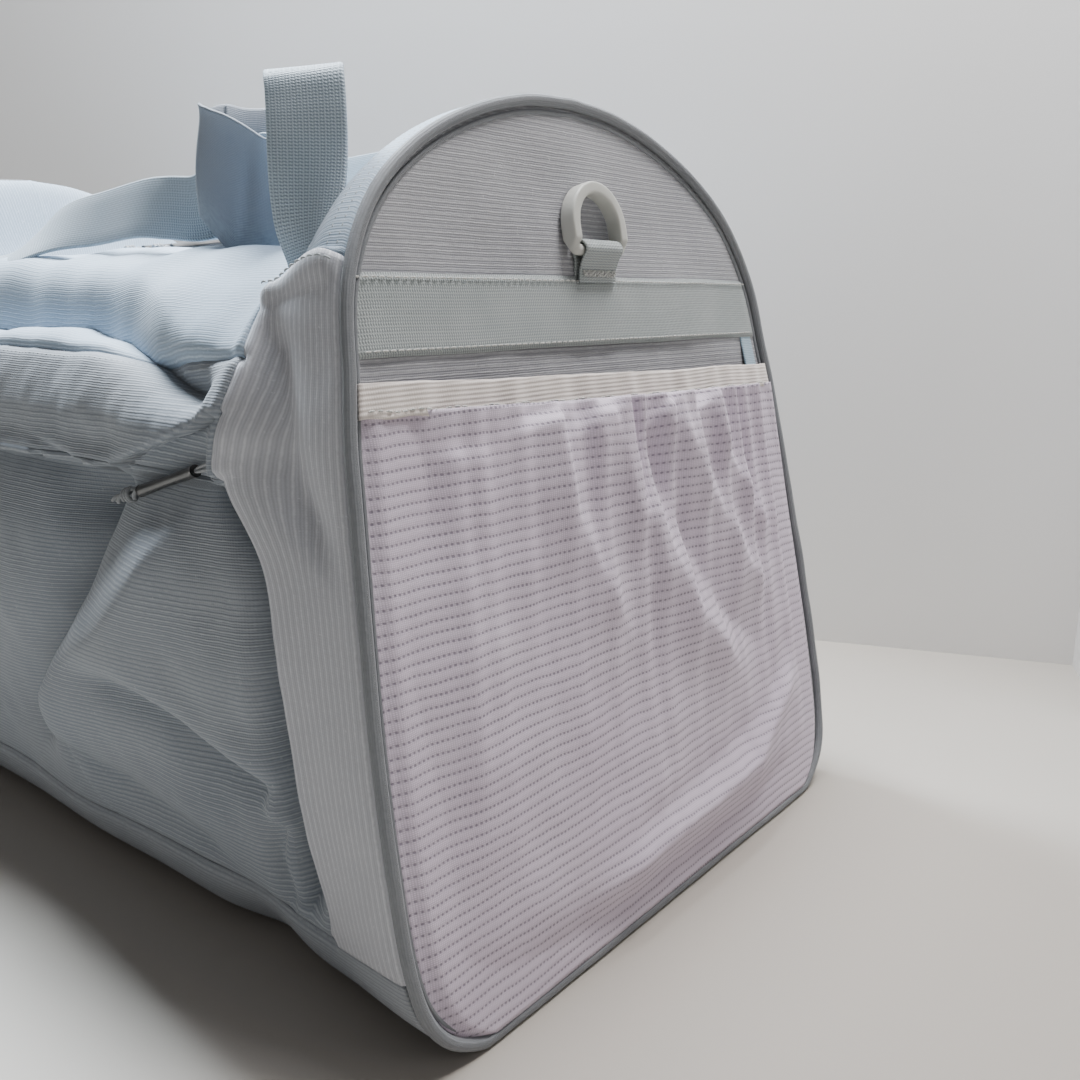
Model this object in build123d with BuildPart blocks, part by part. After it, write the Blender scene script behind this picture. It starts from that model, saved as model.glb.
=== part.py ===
from build123d import *
import math
import os

# A soft duffel bag, 54 cm long. X runs along the bag, +X is the end with the mesh pocket,
# -Y is the front with the zipped pocket, Z is up. The origin is on the floor under the middle.
# All sizes are millimetres.

# Driving dimensions
BASE_HALF = 270.0  # half length of the bag at the floor
HEIGHT = 300.0  # crown of the end arches
MIDDLE_HEIGHT = 252.0  # crown of the slack middle
LEAN = math.atan(57 / 300)  # the end panels lean inwards by this angle
SKIN = 1.6  # modelled thickness of fabric with its lining
GAP = 0.4  # clear distance between neighbouring pieces
WEBBING = 25.0  # width of all webbing
WEB_THICK = 1.6

# Half outline of the bag's section: flat base, round corner, side, arch
BASE_FLAT = 104.0
CORNER_Y = (139.0, 131.0)  # at the ends, in the middle
CORNER_Z = 34.0
ZIP_Y = 129.0  # the pocket zip lies on a straight line at this Y
POCKET_ZIP_Z = 180.0
SPRING_Y = 125.0
SPRING_Z = 208.0  # the side ends and the arch starts here
ZIP_HALF = 7.0  # half width of the slot for the main zip
COIL_HALF = 2.8
CORNER_STEPS = 5
ARCH_STEPS = 9

# Stations along the bag at the floor: half length, lean, share of the middle's slackness
END_GAP = 2.4  # end panel thickness and its clearance
SEAM_X = 228.0  # seam between gusset strips and the long panels
LEVEL_X = 140.0  # the middle is level inside this
LEVEL_LEAN = math.radians(3)
SEAM_SLACK = 1.0
HEM_STEP = 3  # the gusset strips stop at this step of the arch

PANEL_THICK = 2.0
PIPING = 4.0
D_AXIS_V = 251.0  # height of the D-ring's bar along the leaning panel
D_AXIS_N = 5.0  # distance of the bar from the panel
BAR_R = 2.5
RING_HALF = 16.5
RING_WALL = 4.2
RING_RISE = 8.0  # from the D-ring's bar to the centre of its bow
RING_THICK = 6.0
BAR_INSET = 3.0
WEB_CLEAR = 0.4
LOOP_THICK = 1.3
LOOP_FOOT = 2.4
LOOP_NARROW = 4.0  # the loop's webbing is this much narrower than the band's
BAND_V = (217.0, 242.0)  # webbing band on the end panel, measured along the panel
POCKET_V = 190.0  # rim of the mesh pocket, measured along the panel
POCKET_DEPTH = 16.0
MESH_SHIFT = 4.1  # centres the bag with its pocket over the origin
HANDLE_Y = 100.0
HANDLE_AXIS_Z = 257.0
HANDLE_FOOT_X = 183.0
STRAP_THICK = 2.4
BOARD = (480.0, 190.0, 3.0)

os.makedirs("parts", exist_ok=True)


def write(part, name):
    part.label = name
    export_step(part, "parts/" + name + ".step")


# --- the bag's section -------------------------------------------------------------------


def side_points(slack, levels):
    """Points of the side between the corner and the arch at the given heights."""
    corner_y = CORNER_Y[0] + slack * (CORNER_Y[1] - CORNER_Y[0])
    points = []
    for z in levels:
        if z < POCKET_ZIP_Z - 4:
            t = (z - CORNER_Z) / (POCKET_ZIP_Z - 4 - CORNER_Z)
            swell = 4 * math.sin(math.pi * t)
            points.append((corner_y + t * (ZIP_Y - corner_y) + swell, z))
        elif z <= POCKET_ZIP_Z + 4:
            points.append((ZIP_Y, z))
        else:
            t = (z - POCKET_ZIP_Z - 4) / (SPRING_Z - POCKET_ZIP_Z - 4)
            points.append((ZIP_Y + t * (SPRING_Y - ZIP_Y), z))
    return points


def corner_points(slack):
    corner_y = CORNER_Y[0] + slack * (CORNER_Y[1] - CORNER_Y[0])
    points = []
    for i in range(CORNER_STEPS + 1):
        a = math.pi / 2 * i / CORNER_STEPS
        y = BASE_FLAT + (corner_y - BASE_FLAT) * math.sin(a)
        points.append((y, CORNER_Z - CORNER_Z * math.cos(a)))
    return points


def arch_points(slack, first=0, last=ARCH_STEPS):
    """Points of the arch from its spring to the edge of the zip slot."""
    rise = HEIGHT + slack * (MIDDLE_HEIGHT - HEIGHT) - SPRING_Z
    end = math.acos(ZIP_HALF / SPRING_Y)
    points = []
    for i in range(first, last + 1):
        a = end * i / ARCH_STEPS
        points.append((SPRING_Y * math.cos(a), SPRING_Z + rise * math.sin(a)))
    return points


def ribbon(points, thick, gap=GAP):
    """Closed outline of a skin: the points, pulled in at both ends, and a copy inside them."""
    outer = [list(p) for p in points]
    for end, beside in ((0, 1), (-1, -2)):
        run = math.dist(outer[end], outer[beside])
        for k in (0, 1):
            outer[end][k] += (outer[beside][k] - outer[end][k]) * gap / run
    inner = []
    for i, (y, z) in enumerate(outer):
        y0, z0 = outer[max(i - 1, 0)]
        y1, z1 = outer[min(i + 1, len(outer) - 1)]
        run = math.hypot(y1 - y0, z1 - z0)
        inner.append((y - (z1 - z0) / run * thick, z + (y1 - y0) / run * thick))
    return [tuple(p) for p in outer] + inner[::-1]


def station_plane(x_base, lean):
    """Plane across the bag that meets the floor at x_base and leans towards the middle."""
    side = 1 if x_base >= 0 else -1
    normal = (math.cos(lean), 0, side * math.sin(lean))
    return Plane(origin=(x_base - MESH_SHIFT, 0, 0), x_dir=(0, 1, 0), z_dir=normal)


def on_plane(points, lean):
    return [(y, z / math.cos(lean)) for y, z in points]


END_X = BASE_HALF - END_GAP
LONG_STATIONS = (
    (-SEAM_X + GAP, LEAN, SEAM_SLACK),
    (-LEVEL_X, LEVEL_LEAN, 1.0),
    (LEVEL_X, LEVEL_LEAN, 1.0),
    (SEAM_X - GAP, LEAN, SEAM_SLACK),
)
RIGHT_STATIONS = ((SEAM_X, LEAN, SEAM_SLACK), (END_X, LEAN, 0.0))
LEFT_STATIONS = ((-END_X, LEAN, 0.0), (-SEAM_X, LEAN, SEAM_SLACK))
FULL_STATIONS = (LEFT_STATIONS[0],) + LONG_STATIONS + (RIGHT_STATIONS[1],)


def mirrored(points):
    return [(-y, z) for y, z in points]


def skin(name, stations, outline, thick=SKIN):
    """A thin panel lofted straight between its stations; outline gives (y, z) for a slackness."""
    with BuildPart() as panel:
        for x_base, lean, slack in stations:
            with BuildSketch(station_plane(x_base, lean)):
                with BuildLine():
                    Polyline(*on_plane(outline(slack), lean), close=True)
                make_face()
        loft(ruled=True)
    write(panel.part, name)
    return panel


def bottom_outline(slack):
    half = corner_points(slack)
    return ribbon(mirrored(half)[::-1] + half, SKIN)


def long_outline(side, levels):
    def outline(slack):
        points = side_points(slack, levels)
        if side < 0:
            return mirrored(ribbon(points, SKIN))
        return ribbon(points, SKIN)

    return outline


def arch_outline(side, first=0, last=ARCH_STEPS):
    def outline(slack):
        points = ribbon(arch_points(slack, first, last), SKIN)
        return mirrored(points) if side < 0 else points

    return outline


LOWER_LEVELS = (CORNER_Z, 62.0, 98.0, 137.0, POCKET_ZIP_Z - 4)
UPPER_LEVELS = (POCKET_ZIP_Z + 4, SPRING_Z)
SIDE_LEVELS = LOWER_LEVELS + UPPER_LEVELS

skin("bottom_panel", FULL_STATIONS, bottom_outline)
skin("front_pocket_panel", LONG_STATIONS, long_outline(-1, LOWER_LEVELS))
skin("pocket_welt", LONG_STATIONS, long_outline(-1, UPPER_LEVELS))
skin("back_panel", LONG_STATIONS, long_outline(1, SIDE_LEVELS))
skin("top_panel_front", LONG_STATIONS, arch_outline(-1))
skin("top_panel_back", LONG_STATIONS, arch_outline(1))


def gusset_outline(side):
    def outline(slack):
        points = side_points(slack, SIDE_LEVELS) + arch_points(slack, 1, HEM_STEP)
        points = ribbon(points, SKIN)
        return mirrored(points) if side < 0 else points

    return outline


def crown_outline(slack):
    half = arch_points(slack, HEM_STEP)
    return ribbon(half + mirrored(half)[::-1], SKIN)


for end_name, stations in (("right", RIGHT_STATIONS), ("left", LEFT_STATIONS)):
    skin("gusset_front_" + end_name, stations, gusset_outline(-1))
    skin("gusset_back_" + end_name, stations, gusset_outline(1))
    skin("crown_strip_" + end_name, stations, crown_outline)

# --- stiffener inside the bottom --------------------------------------------------------

with BuildPart() as base_board:
    with BuildSketch(Plane.XY.offset(SKIN + 0.2)):
        with Locations((-MESH_SHIFT, 0)):
            RectangleRounded(BOARD[0], BOARD[1], 20)
    extrude(amount=BOARD[2])
write(base_board.part, "base_board")

# --- lining behind the front pocket -------------------------------------------------------

LINING_Y = 108.0
with BuildPart() as pocket_lining:
    with BuildSketch(Plane.XZ.offset(LINING_Y)):
        with BuildLine():
            Polyline((-205, 40), (205, 40), (176, 204), (-176, 204), close=True)
        make_face()
    extrude(amount=1.2)
write(pocket_lining.part, "front_pocket_lining")

# --- end panels with piping, band and D-ring ----------------------------------------------


def end_outline(grow=0.0):
    """Outline of an end panel on its own plane, grown outwards by the given distance."""
    half = corner_points(0.0)
    half += side_points(0.0, SIDE_LEVELS[1:])
    half += arch_points(0.0, 1)
    half = on_plane(half, LEAN)
    wide = 1 + grow / CORNER_Y[0]
    tall = 1 + 2 * grow / HEIGHT
    half = [(y * wide, v * tall - grow) for y, v in half]
    return half + mirrored(half)[::-1]


def end_side(side):
    return station_plane(side * BASE_HALF, LEAN)


def outward(side, distance):
    """Plane parallel to an end panel, at this distance outside it."""
    return end_side(side).offset(side * distance)


for end_name, side in (("right", 1), ("left", -1)):
    with BuildPart() as end_panel:
        with BuildSketch(end_side(side)):
            with BuildLine():
                Polyline(*end_outline(0.0), close=True)
            make_face()
        extrude(amount=-side * PANEL_THICK)
    write(end_panel.part, "end_panel_" + end_name)

    with BuildPart() as piping:
        with BuildSketch(outward(side, 0)):
            with BuildLine():
                Polyline(*end_outline(0.0), close=True)
            make_face()
            with BuildLine():
                Polyline(*end_outline(-PIPING), close=True)
            make_face(mode=Mode.SUBTRACT)
        extrude(amount=side * PIPING * 0.9)
    write(piping.part, "piping_" + end_name)

    band_v = (BAND_V[0] + BAND_V[1]) / 2
    with BuildPart() as band:
        with BuildSketch(outward(side, 0)):
            with Locations((0, band_v)):
                Rectangle(2 * 111.0, BAND_V[1] - BAND_V[0])
        extrude(amount=side * WEB_THICK)
    write(band.part, "webbing_band_" + end_name)

    # Webbing loop folded round the D-ring's bar, sewn down where it meets the band
    hug_in = BAR_R + WEB_CLEAR
    hug_out = hug_in + LOOP_THICK
    loop_drop = D_AXIS_V - BAND_V[1] - GAP
    loop_plane = Plane(
        origin=outward(side, D_AXIS_N).from_local_coords(((LOOP_NARROW - WEBBING) / 2, D_AXIS_V, 0)),
        x_dir=end_side(side).z_dir * side,
        z_dir=(0, 1, 0),
    )
    down = 1 if loop_plane.y_dir.Z < 0 else -1
    with BuildPart() as loop:
        with BuildSketch(loop_plane):
            Circle(hug_out)
            with Locations((0, down * loop_drop / 2)):
                Rectangle(2 * hug_out, loop_drop)
            Circle(hug_in, mode=Mode.SUBTRACT)
            with Locations((0, down * loop_drop / 2)):
                Rectangle(2 * hug_in, loop_drop, mode=Mode.SUBTRACT)
            with Locations(((hug_out - D_AXIS_N) / 2, down * (loop_drop - LOOP_FOOT / 2))):
                Rectangle(hug_out + D_AXIS_N, LOOP_FOOT)
        extrude(amount=WEBBING - LOOP_NARROW)
    write(loop.part, "d_ring_loop_" + end_name)

    # Flat moulded D: a round bar through the loop, a thick bow above it
    ring_plane = outward(side, D_AXIS_N)
    with BuildPart() as d_ring:
        with BuildSketch(ring_plane.offset(-RING_THICK / 2)):
            with Locations((0, D_AXIS_V + (RING_RISE - BAR_R) / 2)):
                Rectangle(2 * RING_HALF, RING_RISE + BAR_R)
            with Locations((0, D_AXIS_V + RING_RISE)):
                Circle(RING_HALF)
                Circle(RING_HALF - RING_WALL, mode=Mode.SUBTRACT)
            with Locations((0, D_AXIS_V + (RING_RISE - BAR_R) / 2)):
                Rectangle(2 * (RING_HALF - RING_WALL), RING_RISE + BAR_R, mode=Mode.SUBTRACT)
            with Locations((0, D_AXIS_V - BAR_R - RING_HALF)):
                Rectangle(2 * RING_HALF, 2 * RING_HALF, mode=Mode.SUBTRACT)
        extrude(amount=RING_THICK)
        with BuildSketch(Plane.XZ.offset(BAR_INSET - RING_HALF)):
            bar_end = outward(side, D_AXIS_N).from_local_coords((0, D_AXIS_V, 0))
            with Locations((bar_end.X, bar_end.Z)):
                Circle(BAR_R)
        extrude(amount=2 * (RING_HALF - BAR_INSET))
    write(d_ring.part, "d_ring_" + end_name)

# --- mesh pocket on the right end ---------------------------------------------------------


def pocket_outline(inset, rim):
    """Lower part of the end panel's outline, inset from the piping and cut off at the rim."""
    levels = LOWER_LEVELS[1:] + (rim * math.cos(LEAN),)
    half = on_plane(corner_points(0.0) + side_points(0.0, levels), LEAN)
    scale = 1 - inset / CORNER_Y[0]
    points = [(y * scale, inset + v * (rim - inset) / rim) for y, v in half]
    return points + mirrored(points)[::-1]


with BuildPart() as mesh_pocket:
    for distance, inset in ((0.1, PIPING + 0.9), (POCKET_DEPTH, 24.0)):
        with BuildSketch(outward(1, distance)):
            with BuildLine():
                Polyline(*pocket_outline(inset, POCKET_V), close=True)
            make_face()
    loft(ruled=True)
    for distance, inset in ((0.0, PIPING + 2.6), (POCKET_DEPTH - 1.0, 26.0)):
        with BuildSketch(outward(1, distance)):
            with BuildLine():
                Polyline(*pocket_outline(inset, POCKET_V + 4), close=True)
            make_face()
    loft(ruled=True, mode=Mode.SUBTRACT)
write(mesh_pocket.part, "mesh_pocket")

ELASTIC_WIDTH = 10.0
with BuildPart() as elastic:
    across = outward(1, 0)
    half_width = 118.0
    with BuildSketch(across.offset(0.1)):
        with Locations((0, POCKET_V + 0.2 + ELASTIC_WIDTH / 2)):
            Rectangle(2 * half_width, ELASTIC_WIDTH)
    extrude(amount=POCKET_DEPTH - 2)
    with BuildSketch(across):
        with Locations((0, POCKET_V + 0.2 + ELASTIC_WIDTH / 2)):
            Rectangle(2 * half_width - 4, ELASTIC_WIDTH + 2)
    extrude(amount=POCKET_DEPTH - 3.5, mode=Mode.SUBTRACT)
write(elastic.part, "pocket_elastic")

# --- small tabs on the far gusset ---------------------------------------------------------

TAB_PLANE = outward(1, 0)
with BuildPart() as tape_tab:
    with BuildSketch(TAB_PLANE):
        with Locations((106, (BAND_V[0] + POCKET_V + ELASTIC_WIDTH) / 2 + 0.4)):
            Rectangle(9, BAND_V[0] - POCKET_V - ELASTIC_WIDTH - 1.6)
    extrude(amount=1.0)
write(tape_tab.part, "tape_tab")

# --- main zip ------------------------------------------------------------------------------


def crown_z(slack):
    return HEIGHT + slack * (MIDDLE_HEIGHT - HEIGHT)


def tape_outline(side):
    def outline(slack):
        z = arch_points(slack, ARCH_STEPS)[0][1]
        points = [
            (ZIP_HALF - GAP, z),
            (COIL_HALF + GAP, z),
            (COIL_HALF + GAP, z - 1.0),
            (ZIP_HALF - GAP, z - 1.0),
        ]
        return mirrored(points) if side < 0 else points

    return outline


def coil_outline(slack):
    z = arch_points(slack, ARCH_STEPS)[0][1]
    return [(-COIL_HALF, z - 1.2), (COIL_HALF, z - 1.2), (COIL_HALF, z + 0.8), (-COIL_HALF, z + 0.8)]


skin("main_zip_tape_front", LONG_STATIONS, tape_outline(-1))
skin("main_zip_tape_back", LONG_STATIONS, tape_outline(1))
skin("main_zip_coil", LONG_STATIONS, coil_outline)

ZIP_TOP = arch_points(1.0, ARCH_STEPS)[0][1] + 0.8
SLIDER = (13.0, 9.0, 2.6)
MAIN_PULL = (30.0, 18.0)  # lengths of tube and knot
POCKET_PULL = (36.0, 20.0)


def slider_body(plane):
    """Slider plate with its bridge; the plane's X runs along the zip and its Z points out."""
    with BuildPart() as slider:
        with BuildSketch(plane.offset(0.4)):
            RectangleRounded(SLIDER[0], SLIDER[1], 2.5)
        extrude(amount=SLIDER[2])
        with BuildSketch(plane.offset(0.4 + SLIDER[2])):
            Rectangle(8, 2.6)
        extrude(amount=3.4)
        with BuildSketch(plane.offset(0.4 + SLIDER[2])):
            Rectangle(5.0, 2.6)
        extrude(amount=2.2, mode=Mode.SUBTRACT)
    return slider.part


PULL_HEIGHT = 5.3  # the pull's cord turns about a line at this height over the zip
PULL_TILT = math.radians(7)  # the main pulls lie down towards the front
POCKET_PULL_TILT = math.radians(17)  # the pocket's pull droops along the bag


def pull_pieces(plane, tube_length, knot_length):
    """Cord, tube and knot of a pull that points along the plane's X from the bridge."""
    start = 4.6
    cord_end = 14.0
    root = plane.from_local_coords((start, 0, PULL_HEIGHT))
    along = Plane(origin=root, x_dir=plane.y_dir, z_dir=plane.x_dir)
    with BuildPart() as cord:
        with BuildSketch(along):
            Circle(0.9)
        extrude(amount=cord_end - start)
    with BuildPart() as tube:
        with BuildSketch(along.offset(cord_end - start)):
            Circle(2.2)
        extrude(amount=tube_length)
    with BuildPart() as knot:
        with BuildSketch(along.offset(cord_end - start + tube_length)):
            Circle(2.6)
        extrude(amount=knot_length)
        chamfer(knot.edges().filter_by(GeomType.CIRCLE), 0.9)
    return cord.part, tube.part, knot.part


MAIN_SLIDERS = (("right", 1, 12.0), ("left", -1, -12.0))
for end_name, side, x in MAIN_SLIDERS:
    zip_plane = Plane(origin=(x, 0, ZIP_TOP), x_dir=(side, 0, 0), z_dir=(0, 0, 1))
    write(slider_body(zip_plane), "main_slider_" + end_name)
    tilt_y = math.sin(PULL_TILT)
    tilt_z = math.cos(PULL_TILT)
    pivot = (x, PULL_HEIGHT * tilt_y, ZIP_TOP + PULL_HEIGHT * (1 - tilt_z))
    pull_plane = Plane(origin=pivot, x_dir=(0, -tilt_z, -tilt_y), z_dir=(0, -tilt_y, tilt_z))
    cord, tube, knot = pull_pieces(pull_plane, *MAIN_PULL)
    write(cord, "main_pull_cord_" + end_name)
    write(tube, "main_pull_tube_" + end_name)
    write(knot, "main_pull_knot_" + end_name)

# --- front pocket zip ----------------------------------------------------------------------

COIL_OUT = 0.8
with BuildPart() as pocket_tape:
    for z in (POCKET_ZIP_Z - 2.6, POCKET_ZIP_Z + 2.6):
        with BuildSketch(Plane.XZ.offset(ZIP_Y - 1.2)):
            with Locations((-MESH_SHIFT, z)):
                Rectangle(380, 1.8)
        extrude(amount=1.0)
write(pocket_tape.part, "pocket_zip_tape")

with BuildPart() as pocket_coil:
    with BuildSketch(Plane.XZ.offset(ZIP_Y - 1.2)):
        with Locations((-MESH_SHIFT, POCKET_ZIP_Z)):
            Rectangle(380, 3.0)
    extrude(amount=1.2 + COIL_OUT)
write(pocket_coil.part, "pocket_zip_coil")

POCKET_SLIDER_X = 176.0
front_plane = Plane(
    origin=(POCKET_SLIDER_X, -ZIP_Y - COIL_OUT, POCKET_ZIP_Z), x_dir=(-1, 0, 0), z_dir=(0, -1, 0)
)
write(slider_body(front_plane), "pocket_slider")
droop = (-math.cos(POCKET_PULL_TILT), 0, -math.sin(POCKET_PULL_TILT))
cord, tube, knot = pull_pieces(Plane(origin=front_plane.origin, x_dir=droop, z_dir=(0, -1, 0)), *POCKET_PULL)
write(cord, "pocket_pull_cord")
write(tube, "pocket_pull_tube")
write(knot, "pocket_pull_knot")

# --- handles -------------------------------------------------------------------------------

FOOT_X = HANDLE_FOOT_X
AXIS_Z = HANDLE_AXIS_Z
FRONT_ROUTE = (
    (FOOT_X, AXIS_Z + 2),
    (FOOT_X + 1, 294),
    (160, 306),
    (100, 288),
    (20, 278),
    (-60, 249),
    (-140, 248),
    (-FOOT_X, AXIS_Z + 2),
)
FRONT_RADII = (9, 14, 40, 60, 60, 40)
BACK_ROUTE = (
    (FOOT_X, AXIS_Z + 2),
    (FOOT_X - 4, 284),
    (60, 301),
    (-60, 301),
    (-FOOT_X + 4, 284),
    (-FOOT_X, AXIS_Z + 2),
)
BACK_RADII = (16, 60, 60, 16)


def strap(route, radii, y, width):
    """Webbing strap standing over the bag, as wide as the webbing across the bag."""
    with BuildPart() as handle:
        with BuildSketch(Plane.XZ.offset(-y - width / 2)):
            with BuildLine():
                line = FilletPolyline(*route, radius=radii)
                offset(line, amount=STRAP_THICK / 2, side=Side.BOTH)
            make_face()
        extrude(amount=width)
    return handle.part


write(strap(FRONT_ROUTE, FRONT_RADII, -HANDLE_Y, WEBBING), "handle_front")
write(strap(BACK_ROUTE, BACK_RADII, HANDLE_Y, WEBBING), "handle_back")

# Fabric sleeve round the front handle's grip
GRIP_X = (30.0, 92.0)


def front_height(x):
    """Height of the front handle between its third and fifth corners."""
    (x0, z0), (x1, z1) = FRONT_ROUTE[3], FRONT_ROUTE[4]
    return z0 + (z1 - z0) * (x - x0) / (x1 - x0)


with BuildPart() as grip:
    for half, mode in (((5.0, 17.0), Mode.ADD), ((2.0, 13.4), Mode.SUBTRACT)):
        with BuildSketch(Plane.XZ.offset(HANDLE_Y - half[1])):
            with BuildLine():
                Polyline(
                    (GRIP_X[0], front_height(GRIP_X[0]) - half[0]),
                    (GRIP_X[1], front_height(GRIP_X[1]) - half[0]),
                    (GRIP_X[1], front_height(GRIP_X[1]) + half[0]),
                    (GRIP_X[0], front_height(GRIP_X[0]) + half[0]),
                    close=True,
                )
            make_face()
        extrude(amount=2 * half[1], mode=mode)
write(grip.part, "handle_grip")

# Webbing feet sewn over the seam under each handle end
FOOT_STATIONS = ((215.0, LEAN, 1.0), (240.0, LEAN, 0.7))
FOOT_LIFT = 2.4


def foot_outline(side):
    def outline(slack):
        raised = []
        for y, z in arch_points(slack, 1, 4):
            a = math.acos(y / SPRING_Y)
            raised.append((y + FOOT_LIFT * math.cos(a), z + FOOT_LIFT * math.sin(a)))
        points = ribbon(raised, WEB_THICK)
        return mirrored(points) if side < 0 else points

    return outline


for end_name, end in (("right", 1), ("left", -1)):
    stations = sorted((end * x, lean, slack) for x, lean, slack in FOOT_STATIONS)
    for face_name, side in (("front", -1), ("back", 1)):
        skin("handle_foot_" + face_name + "_" + end_name, stations, foot_outline(side))
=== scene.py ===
import math

import bpy
import numpy as np
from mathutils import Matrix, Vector


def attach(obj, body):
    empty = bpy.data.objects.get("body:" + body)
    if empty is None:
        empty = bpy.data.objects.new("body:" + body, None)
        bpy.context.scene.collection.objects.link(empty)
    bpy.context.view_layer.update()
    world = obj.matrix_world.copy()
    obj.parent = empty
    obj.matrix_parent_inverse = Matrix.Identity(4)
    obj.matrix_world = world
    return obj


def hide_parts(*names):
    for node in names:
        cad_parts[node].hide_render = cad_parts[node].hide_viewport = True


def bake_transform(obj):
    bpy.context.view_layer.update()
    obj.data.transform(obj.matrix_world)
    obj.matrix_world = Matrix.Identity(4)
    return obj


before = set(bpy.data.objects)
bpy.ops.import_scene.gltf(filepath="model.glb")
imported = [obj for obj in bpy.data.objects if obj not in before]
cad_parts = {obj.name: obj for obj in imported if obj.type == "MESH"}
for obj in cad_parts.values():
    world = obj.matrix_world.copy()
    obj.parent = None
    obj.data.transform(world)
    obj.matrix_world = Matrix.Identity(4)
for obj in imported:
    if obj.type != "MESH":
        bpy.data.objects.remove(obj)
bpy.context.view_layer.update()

# Lengths below are millimetres and become metres in mesh_from(), in the frame of the CAD.
MM = 0.001
CENTRE_X = -4.1  # the bag's own middle, set off by its end pocket
HALF = 270.0
LEAN = 0.19  # inward lean of the end panels, run over rise
LEAN_RISE = math.atan(LEAN)
SEAM = 228.0  # inner edge of the gusset strips
WEB = 25.0  # width of all webbing
END_LIFT = 1.2  # pieces on an end panel stand this far off it

# --- small tools ---------------------------------------------------------------------------


def linear(code):
    """Linear colour of a hex sRGB code."""
    parts = [int(code[i : i + 2], 16) / 255 for i in (0, 2, 4)]
    return tuple(p / 12.92 if p <= 0.04045 else ((p + 0.055) / 1.055) ** 2.4 for p in parts) + (1.0,)


def mesh_from(name, verts, faces, uvs=None, smooth=True):
    """Object from vertices in millimetres; uvs gives one (u, v) in millimetres for each vertex."""
    mesh = bpy.data.meshes.new(name)
    mesh.from_pydata([tuple(v) for v in np.asarray(verts, float) * MM], [], [tuple(map(int, f)) for f in faces])
    mesh.validate()
    if uvs is not None:
        layer = mesh.uv_layers.new(name="cloth")
        order = np.empty(len(mesh.loops), dtype=np.int32)
        mesh.loops.foreach_get("vertex_index", order)
        flat = np.asarray(uvs, float)[order] * MM
        layer.data.foreach_set("uv", flat.ravel())
    if smooth:
        mesh.polygons.foreach_set("use_smooth", [True] * len(mesh.polygons))
    obj = bpy.data.objects.new(name, mesh)
    bpy.context.scene.collection.objects.link(obj)
    return obj


def grid_faces(rows, cols, wrap_rows=False, wrap_cols=False):
    faces = []
    for i in range(rows if wrap_rows else rows - 1):
        for j in range(cols if wrap_cols else cols - 1):
            a, b = i % rows, (i + 1) % rows
            c, d = j % cols, (j + 1) % cols
            faces.append((a * cols + c, b * cols + c, b * cols + d, a * cols + d))
    return faces


def grid_mesh(name, points, uvs, flip=False):
    """Open sheet from an array of points, rows by columns by 3."""
    rows, cols = points.shape[:2]
    faces = grid_faces(rows, cols)
    if flip:
        faces = [f[::-1] for f in faces]
    return mesh_from(name, points.reshape(-1, 3), faces, uvs.reshape(-1, 2))


def thicken(obj, thick, offset=-1.0):
    mod = obj.modifiers.new("thickness", "SOLIDIFY")
    mod.thickness = thick * MM
    mod.offset = offset
    mod.use_even_offset = False
    return obj


def join(name, objects):
    """One object out of several, keeping the first one's material."""
    bpy.ops.object.select_all(action="DESELECT")
    for other in objects:
        other.select_set(True)
    bpy.context.view_layer.objects.active = objects[0]
    bpy.ops.object.join()
    whole = bpy.context.view_layer.objects.active
    whole.name = name
    whole.data.name = name
    whole.select_set(False)
    return whole


def smoothstep(edge0, edge1, x):
    t = np.clip((np.asarray(x, float) - edge0) / (edge1 - edge0), 0, 1)
    return t * t * (3 - 2 * t)


def catmull(points, steps):
    """Points on a smooth line through the given ones."""
    p = np.asarray(points, float)
    p = np.vstack([2 * p[0] - p[1], p, 2 * p[-1] - p[-2]])
    out = []
    for i in range(1, len(p) - 2):
        for k in range(steps):
            t = k / steps
            a = 2 * p[i]
            b = p[i + 1] - p[i - 1]
            c = 2 * p[i - 1] - 5 * p[i] + 4 * p[i + 1] - p[i + 2]
            d = 3 * p[i] - p[i - 1] - 3 * p[i + 1] + p[i + 2]
            out.append((a + b * t + c * t * t + d * t**3) / 2)
    out.append(p[-2])
    return np.array(out)


def lengths(points):
    """Distance along a line of points, from its start."""
    steps = np.linalg.norm(np.diff(points, axis=0), axis=1)
    return np.concatenate([[0], np.cumsum(steps)])


def resample(points, step):
    """The same line with evenly spaced points."""
    run = lengths(points)
    count = max(2, int(round(run[-1] / step)) + 1)
    at = np.linspace(0, run[-1], count)
    return np.stack([np.interp(at, run, points[:, k]) for k in range(points.shape[1])], 1)


def waves(x, z, seed, size, amount):
    """Soft seeded ripples, a sum of plane waves."""
    rng = np.random.default_rng(seed)
    total = np.zeros(np.broadcast(x, z).shape)
    for _ in range(7):
        angle = rng.uniform(0, math.pi)
        length = size * rng.uniform(0.6, 1.7)
        phase = rng.uniform(0, 2 * math.pi)
        total += np.sin((x * math.cos(angle) + z * math.sin(angle)) * 2 * math.pi / length + phase)
    return total * amount / 7


# --- materials -----------------------------------------------------------------------------


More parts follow.
